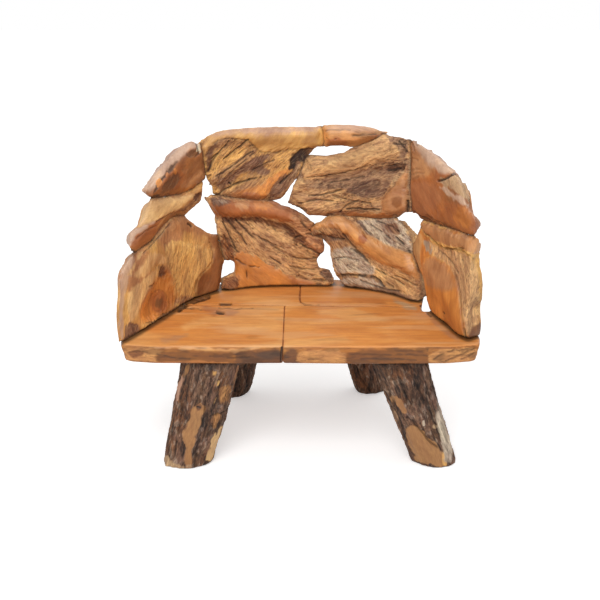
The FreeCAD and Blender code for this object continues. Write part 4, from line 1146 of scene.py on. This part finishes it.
def wood_material(name, streak, fine, deep_worn, light_worn, rough_smooth, rough_worn, bump):
    """Wood coloured by its stored tint: streaked, flecked and pitted more the more it is worn."""
    nodes = Nodes(bpy.data.materials.new(name))
    place = nodes.stored("grain", "Vector")
    tint = nodes.stored("tint")
    parts = nodes.add("ShaderNodeSeparateColor")
    nodes.link(nodes.stored("wear_and_shade"), parts.inputs[0])
    worn, dark, pale = parts.outputs
    broad = nodes.noise(place, streak, 5.0, 0.65)
    thin = nodes.noise(place, fine, 4.0, 0.65)
    flecks = nodes.noise(place, (90.0, 170.0, 170.0), 3.0)
    cloud = nodes.noise(place, (10.0, 28.0, 28.0), 5.0, 0.65)
    zone = nodes.noise(place, (7.0, 17.0, 17.0), 3.0)
    warm = nodes.mixed(worn, (1.05, 1.04, 0.94, 1.0), (1.06, 1.04, 0.96, 1.0))
    cool = nodes.mixed(worn, (0.90, 0.83, 0.76, 1.0), (0.84, 0.76, 0.78, 1.0))
    clouded = nodes.mixed(nodes.spread(cloud, 0.38, 0.62, 0.0, 1.0), warm, cool)
    wood = nodes.mixed(1.0, tint, clouded, "MULTIPLY")
    light = nodes.mixed(worn, (1.06, 1.06, 1.02, 1.0), light_worn)
    deep = nodes.mixed(worn, (0.88, 0.83, 0.76, 1.0), deep_worn)
    streaks = nodes.sum("ADD", nodes.sum("MULTIPLY", broad, 0.5), nodes.sum("MULTIPLY", thin, 0.5))
    streaks = nodes.spread(streaks, 0.41, 0.59, 0.0, 1.0)
    wood = nodes.mixed(1.0, wood, nodes.mixed(streaks, deep, light), "MULTIPLY")
    rotten = nodes.sum("MULTIPLY", worn, nodes.spread(zone, 0.44, 0.58, 0.15, 1.0))
    pitted = nodes.sum("MULTIPLY", nodes.spread(flecks, 0.57, 0.66, 0.0, 0.7), rotten)
    wood = nodes.mixed(pitted, wood, (0.055, 0.028, 0.016, 1.0))
    wood = nodes.mixed(nodes.sum("MULTIPLY", pale, 0.4), wood, (0.76, 0.52, 0.28, 1.0))
    shade = nodes.spread(dark, 0.0, 1.0, 1.0, 0.10)
    wood = nodes.mixed(1.0, wood, nodes.grey(shade), "MULTIPLY")
    nodes.link(wood, nodes.shader.inputs["Base Color"])
    gloss = nodes.spread(worn, 0.0, 0.7, rough_smooth, rough_worn)
    gloss = nodes.sum("ADD", gloss, nodes.spread(thin, 0.3, 0.7, -0.08, 0.08))
    nodes.link(gloss, nodes.shader.inputs["Roughness"])
    height = nodes.sum("ADD", nodes.sum("MULTIPLY", broad, 0.5), nodes.sum("MULTIPLY", thin, 0.4))
    height = nodes.sum("SUBTRACT", height, nodes.sum("MULTIPLY", pitted, 0.4))
    relief = nodes.add("ShaderNodeBump")
    relief.inputs["Distance"].default_value = 0.004
    nodes.link(nodes.spread(worn, 0.0, 0.8, bump * 0.15, bump), relief.inputs["Strength"])
    nodes.link(height, relief.inputs["Height"])
    nodes.link(relief.outputs[0], nodes.shader.inputs["Normal"])
    return nodes.owner


def peg_material():
    """Plain dark hardwood, faintly ringed, for the pegs and tenons inside the joints."""
    nodes = Nodes(bpy.data.materials.new("peg_wood"))
    place = nodes.add("ShaderNodeTexCoord").outputs["Object"]
    rings = nodes.noise(place, (40.0, 40.0, 400.0), 4.0)
    wood = nodes.mixed(rings, (0.24, 0.12, 0.05, 1.0), (0.44, 0.24, 0.10, 1.0))
    nodes.link(wood, nodes.shader.inputs["Base Color"])
    nodes.shader.inputs["Roughness"].default_value = 0.6
    return nodes.owner


def looks_bright(nodes):
    """1 for what the camera sees straight on, in a gloss or through glass, and 0 for other light."""
    rays = nodes.add("ShaderNodeLightPath").outputs
    seen = nodes.sum("MAXIMUM", rays["Is Camera Ray"], rays["Is Glossy Ray"])
    return nodes.sum("MAXIMUM", seen, rays["Is Transmission Ray"])


def floor_material():
    """White paper that glows a little to the camera, more with distance, and keeps its shadow."""
    nodes = Nodes(bpy.data.materials.new("floor_paper"))
    nodes.fill(nodes.shader.inputs["Base Color"], (0.86, 0.86, 0.86, 1.0))
    nodes.fill(nodes.shader.inputs["Roughness"], 1.0)
    nodes.fill(nodes.shader.inputs["Specular IOR Level"], 0.0)
    away = nodes.add("ShaderNodeVectorMath", operation="LENGTH")
    nodes.link(nodes.add("ShaderNodeTexCoord").outputs["Object"], away.inputs[0])
    glowing = nodes.spread(away.outputs["Value"], 1.0, 4.0, 0.42, 0.62)
    glow = nodes.add("ShaderNodeEmission")
    nodes.fill(glow.inputs["Color"], WHITE)
    nodes.link(nodes.sum("MULTIPLY", looks_bright(nodes), glowing), glow.inputs["Strength"])
    both = nodes.add("ShaderNodeAddShader")
    nodes.link(nodes.shader.outputs[0], both.inputs[0])
    nodes.link(glow.outputs[0], both.inputs[1])
    nodes.link(both.outputs[0], nodes.tree.nodes["Material Output"].inputs["Surface"])
    return nodes.owner


def room(light, seen):
    """An even pale room around the object, which looks white to the camera."""
    nodes = Nodes(bpy.data.worlds.new("room"), "Background")
    nodes.fill(nodes.shader.inputs["Color"], WHITE)
    strength = nodes.spread(looks_bright(nodes), 0.0, 1.0, light, seen)
    nodes.link(strength, nodes.shader.inputs["Strength"])
    return nodes.owner


def lamp(name, place, target, size, power):
    """A soft square lamp facing a point."""
    data = bpy.data.lights.new(name, "AREA")
    data.shape = "SQUARE"
    data.size = size
    data.energy = power
    thing = placed(name, data)
    thing.location = place
    thing.rotation_euler = (Vector(target) - Vector(place)).to_track_quat("-Z", "Y").to_euler()


root_wood = wood_material(
    "root_wood", streak=(13.0, 62.0, 62.0), fine=(42.0, 190.0, 190.0),
    deep_worn=(0.52, 0.41, 0.37, 1.0), light_worn=(1.30, 1.28, 1.14, 1.0),
    rough_smooth=0.42, rough_worn=0.85, bump=0.9,
)
seat_wood = wood_material(
    "seat_wood", streak=(3.0, 46.0, 30.0), fine=(10.0, 230.0, 120.0),
    deep_worn=(0.62, 0.54, 0.48, 1.0), light_worn=(1.20, 1.16, 1.06, 1.0),
    rough_smooth=0.44, rough_worn=0.8, bump=0.5,
)
bark_wood = wood_material(
    "bark_wood", streak=(22.0, 100.0, 100.0), fine=(60.0, 250.0, 250.0),
    deep_worn=(0.50, 0.46, 0.44, 1.0), light_worn=(1.45, 1.42, 1.38, 1.0),
    rough_smooth=0.5, rough_worn=0.9, bump=1.0,
)

for number, (node, settings) in enumerate(ROOTS.items()):
    piece = root_block(node, *settings, ROOT_SEEDS[0] + ROOT_SEEDS[1] * number)
    piece.data.materials.append(root_wood)
for node in BOARDS:
    piece = seat_board(node)
    piece.data.materials.append(seat_wood)
for number, node in enumerate(LEGS):
    piece = leg(node, LEG_SEEDS[0] + LEG_SEEDS[1] * number)
    piece.data.materials.append(bark_wood)

peg_wood = peg_material()
for node in FIXINGS:
    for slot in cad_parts[node].material_slots:
        slot.material = peg_wood

floor_mesh = bpy.data.meshes.new("floor")
floor_mesh.from_pydata([(-12, -8, 0), (12, -8, 0), (12, 16, 0), (-12, 16, 0)], [], [(0, 1, 2, 3)])
floor_mesh.materials.append(floor_material())
floor = placed("floor", floor_mesh)

bpy.context.scene.world = room(light=0.60, seen=1.0)
lamp("lamp_front", (-0.7, -2.8, 3.2), (0.0, 0.0, 0.5), size=2.4, power=88.0)
lamp("lamp_top", (0.8, 0.6, 3.6), (0.0, 0.0, 0.4), size=2.0, power=26.0)
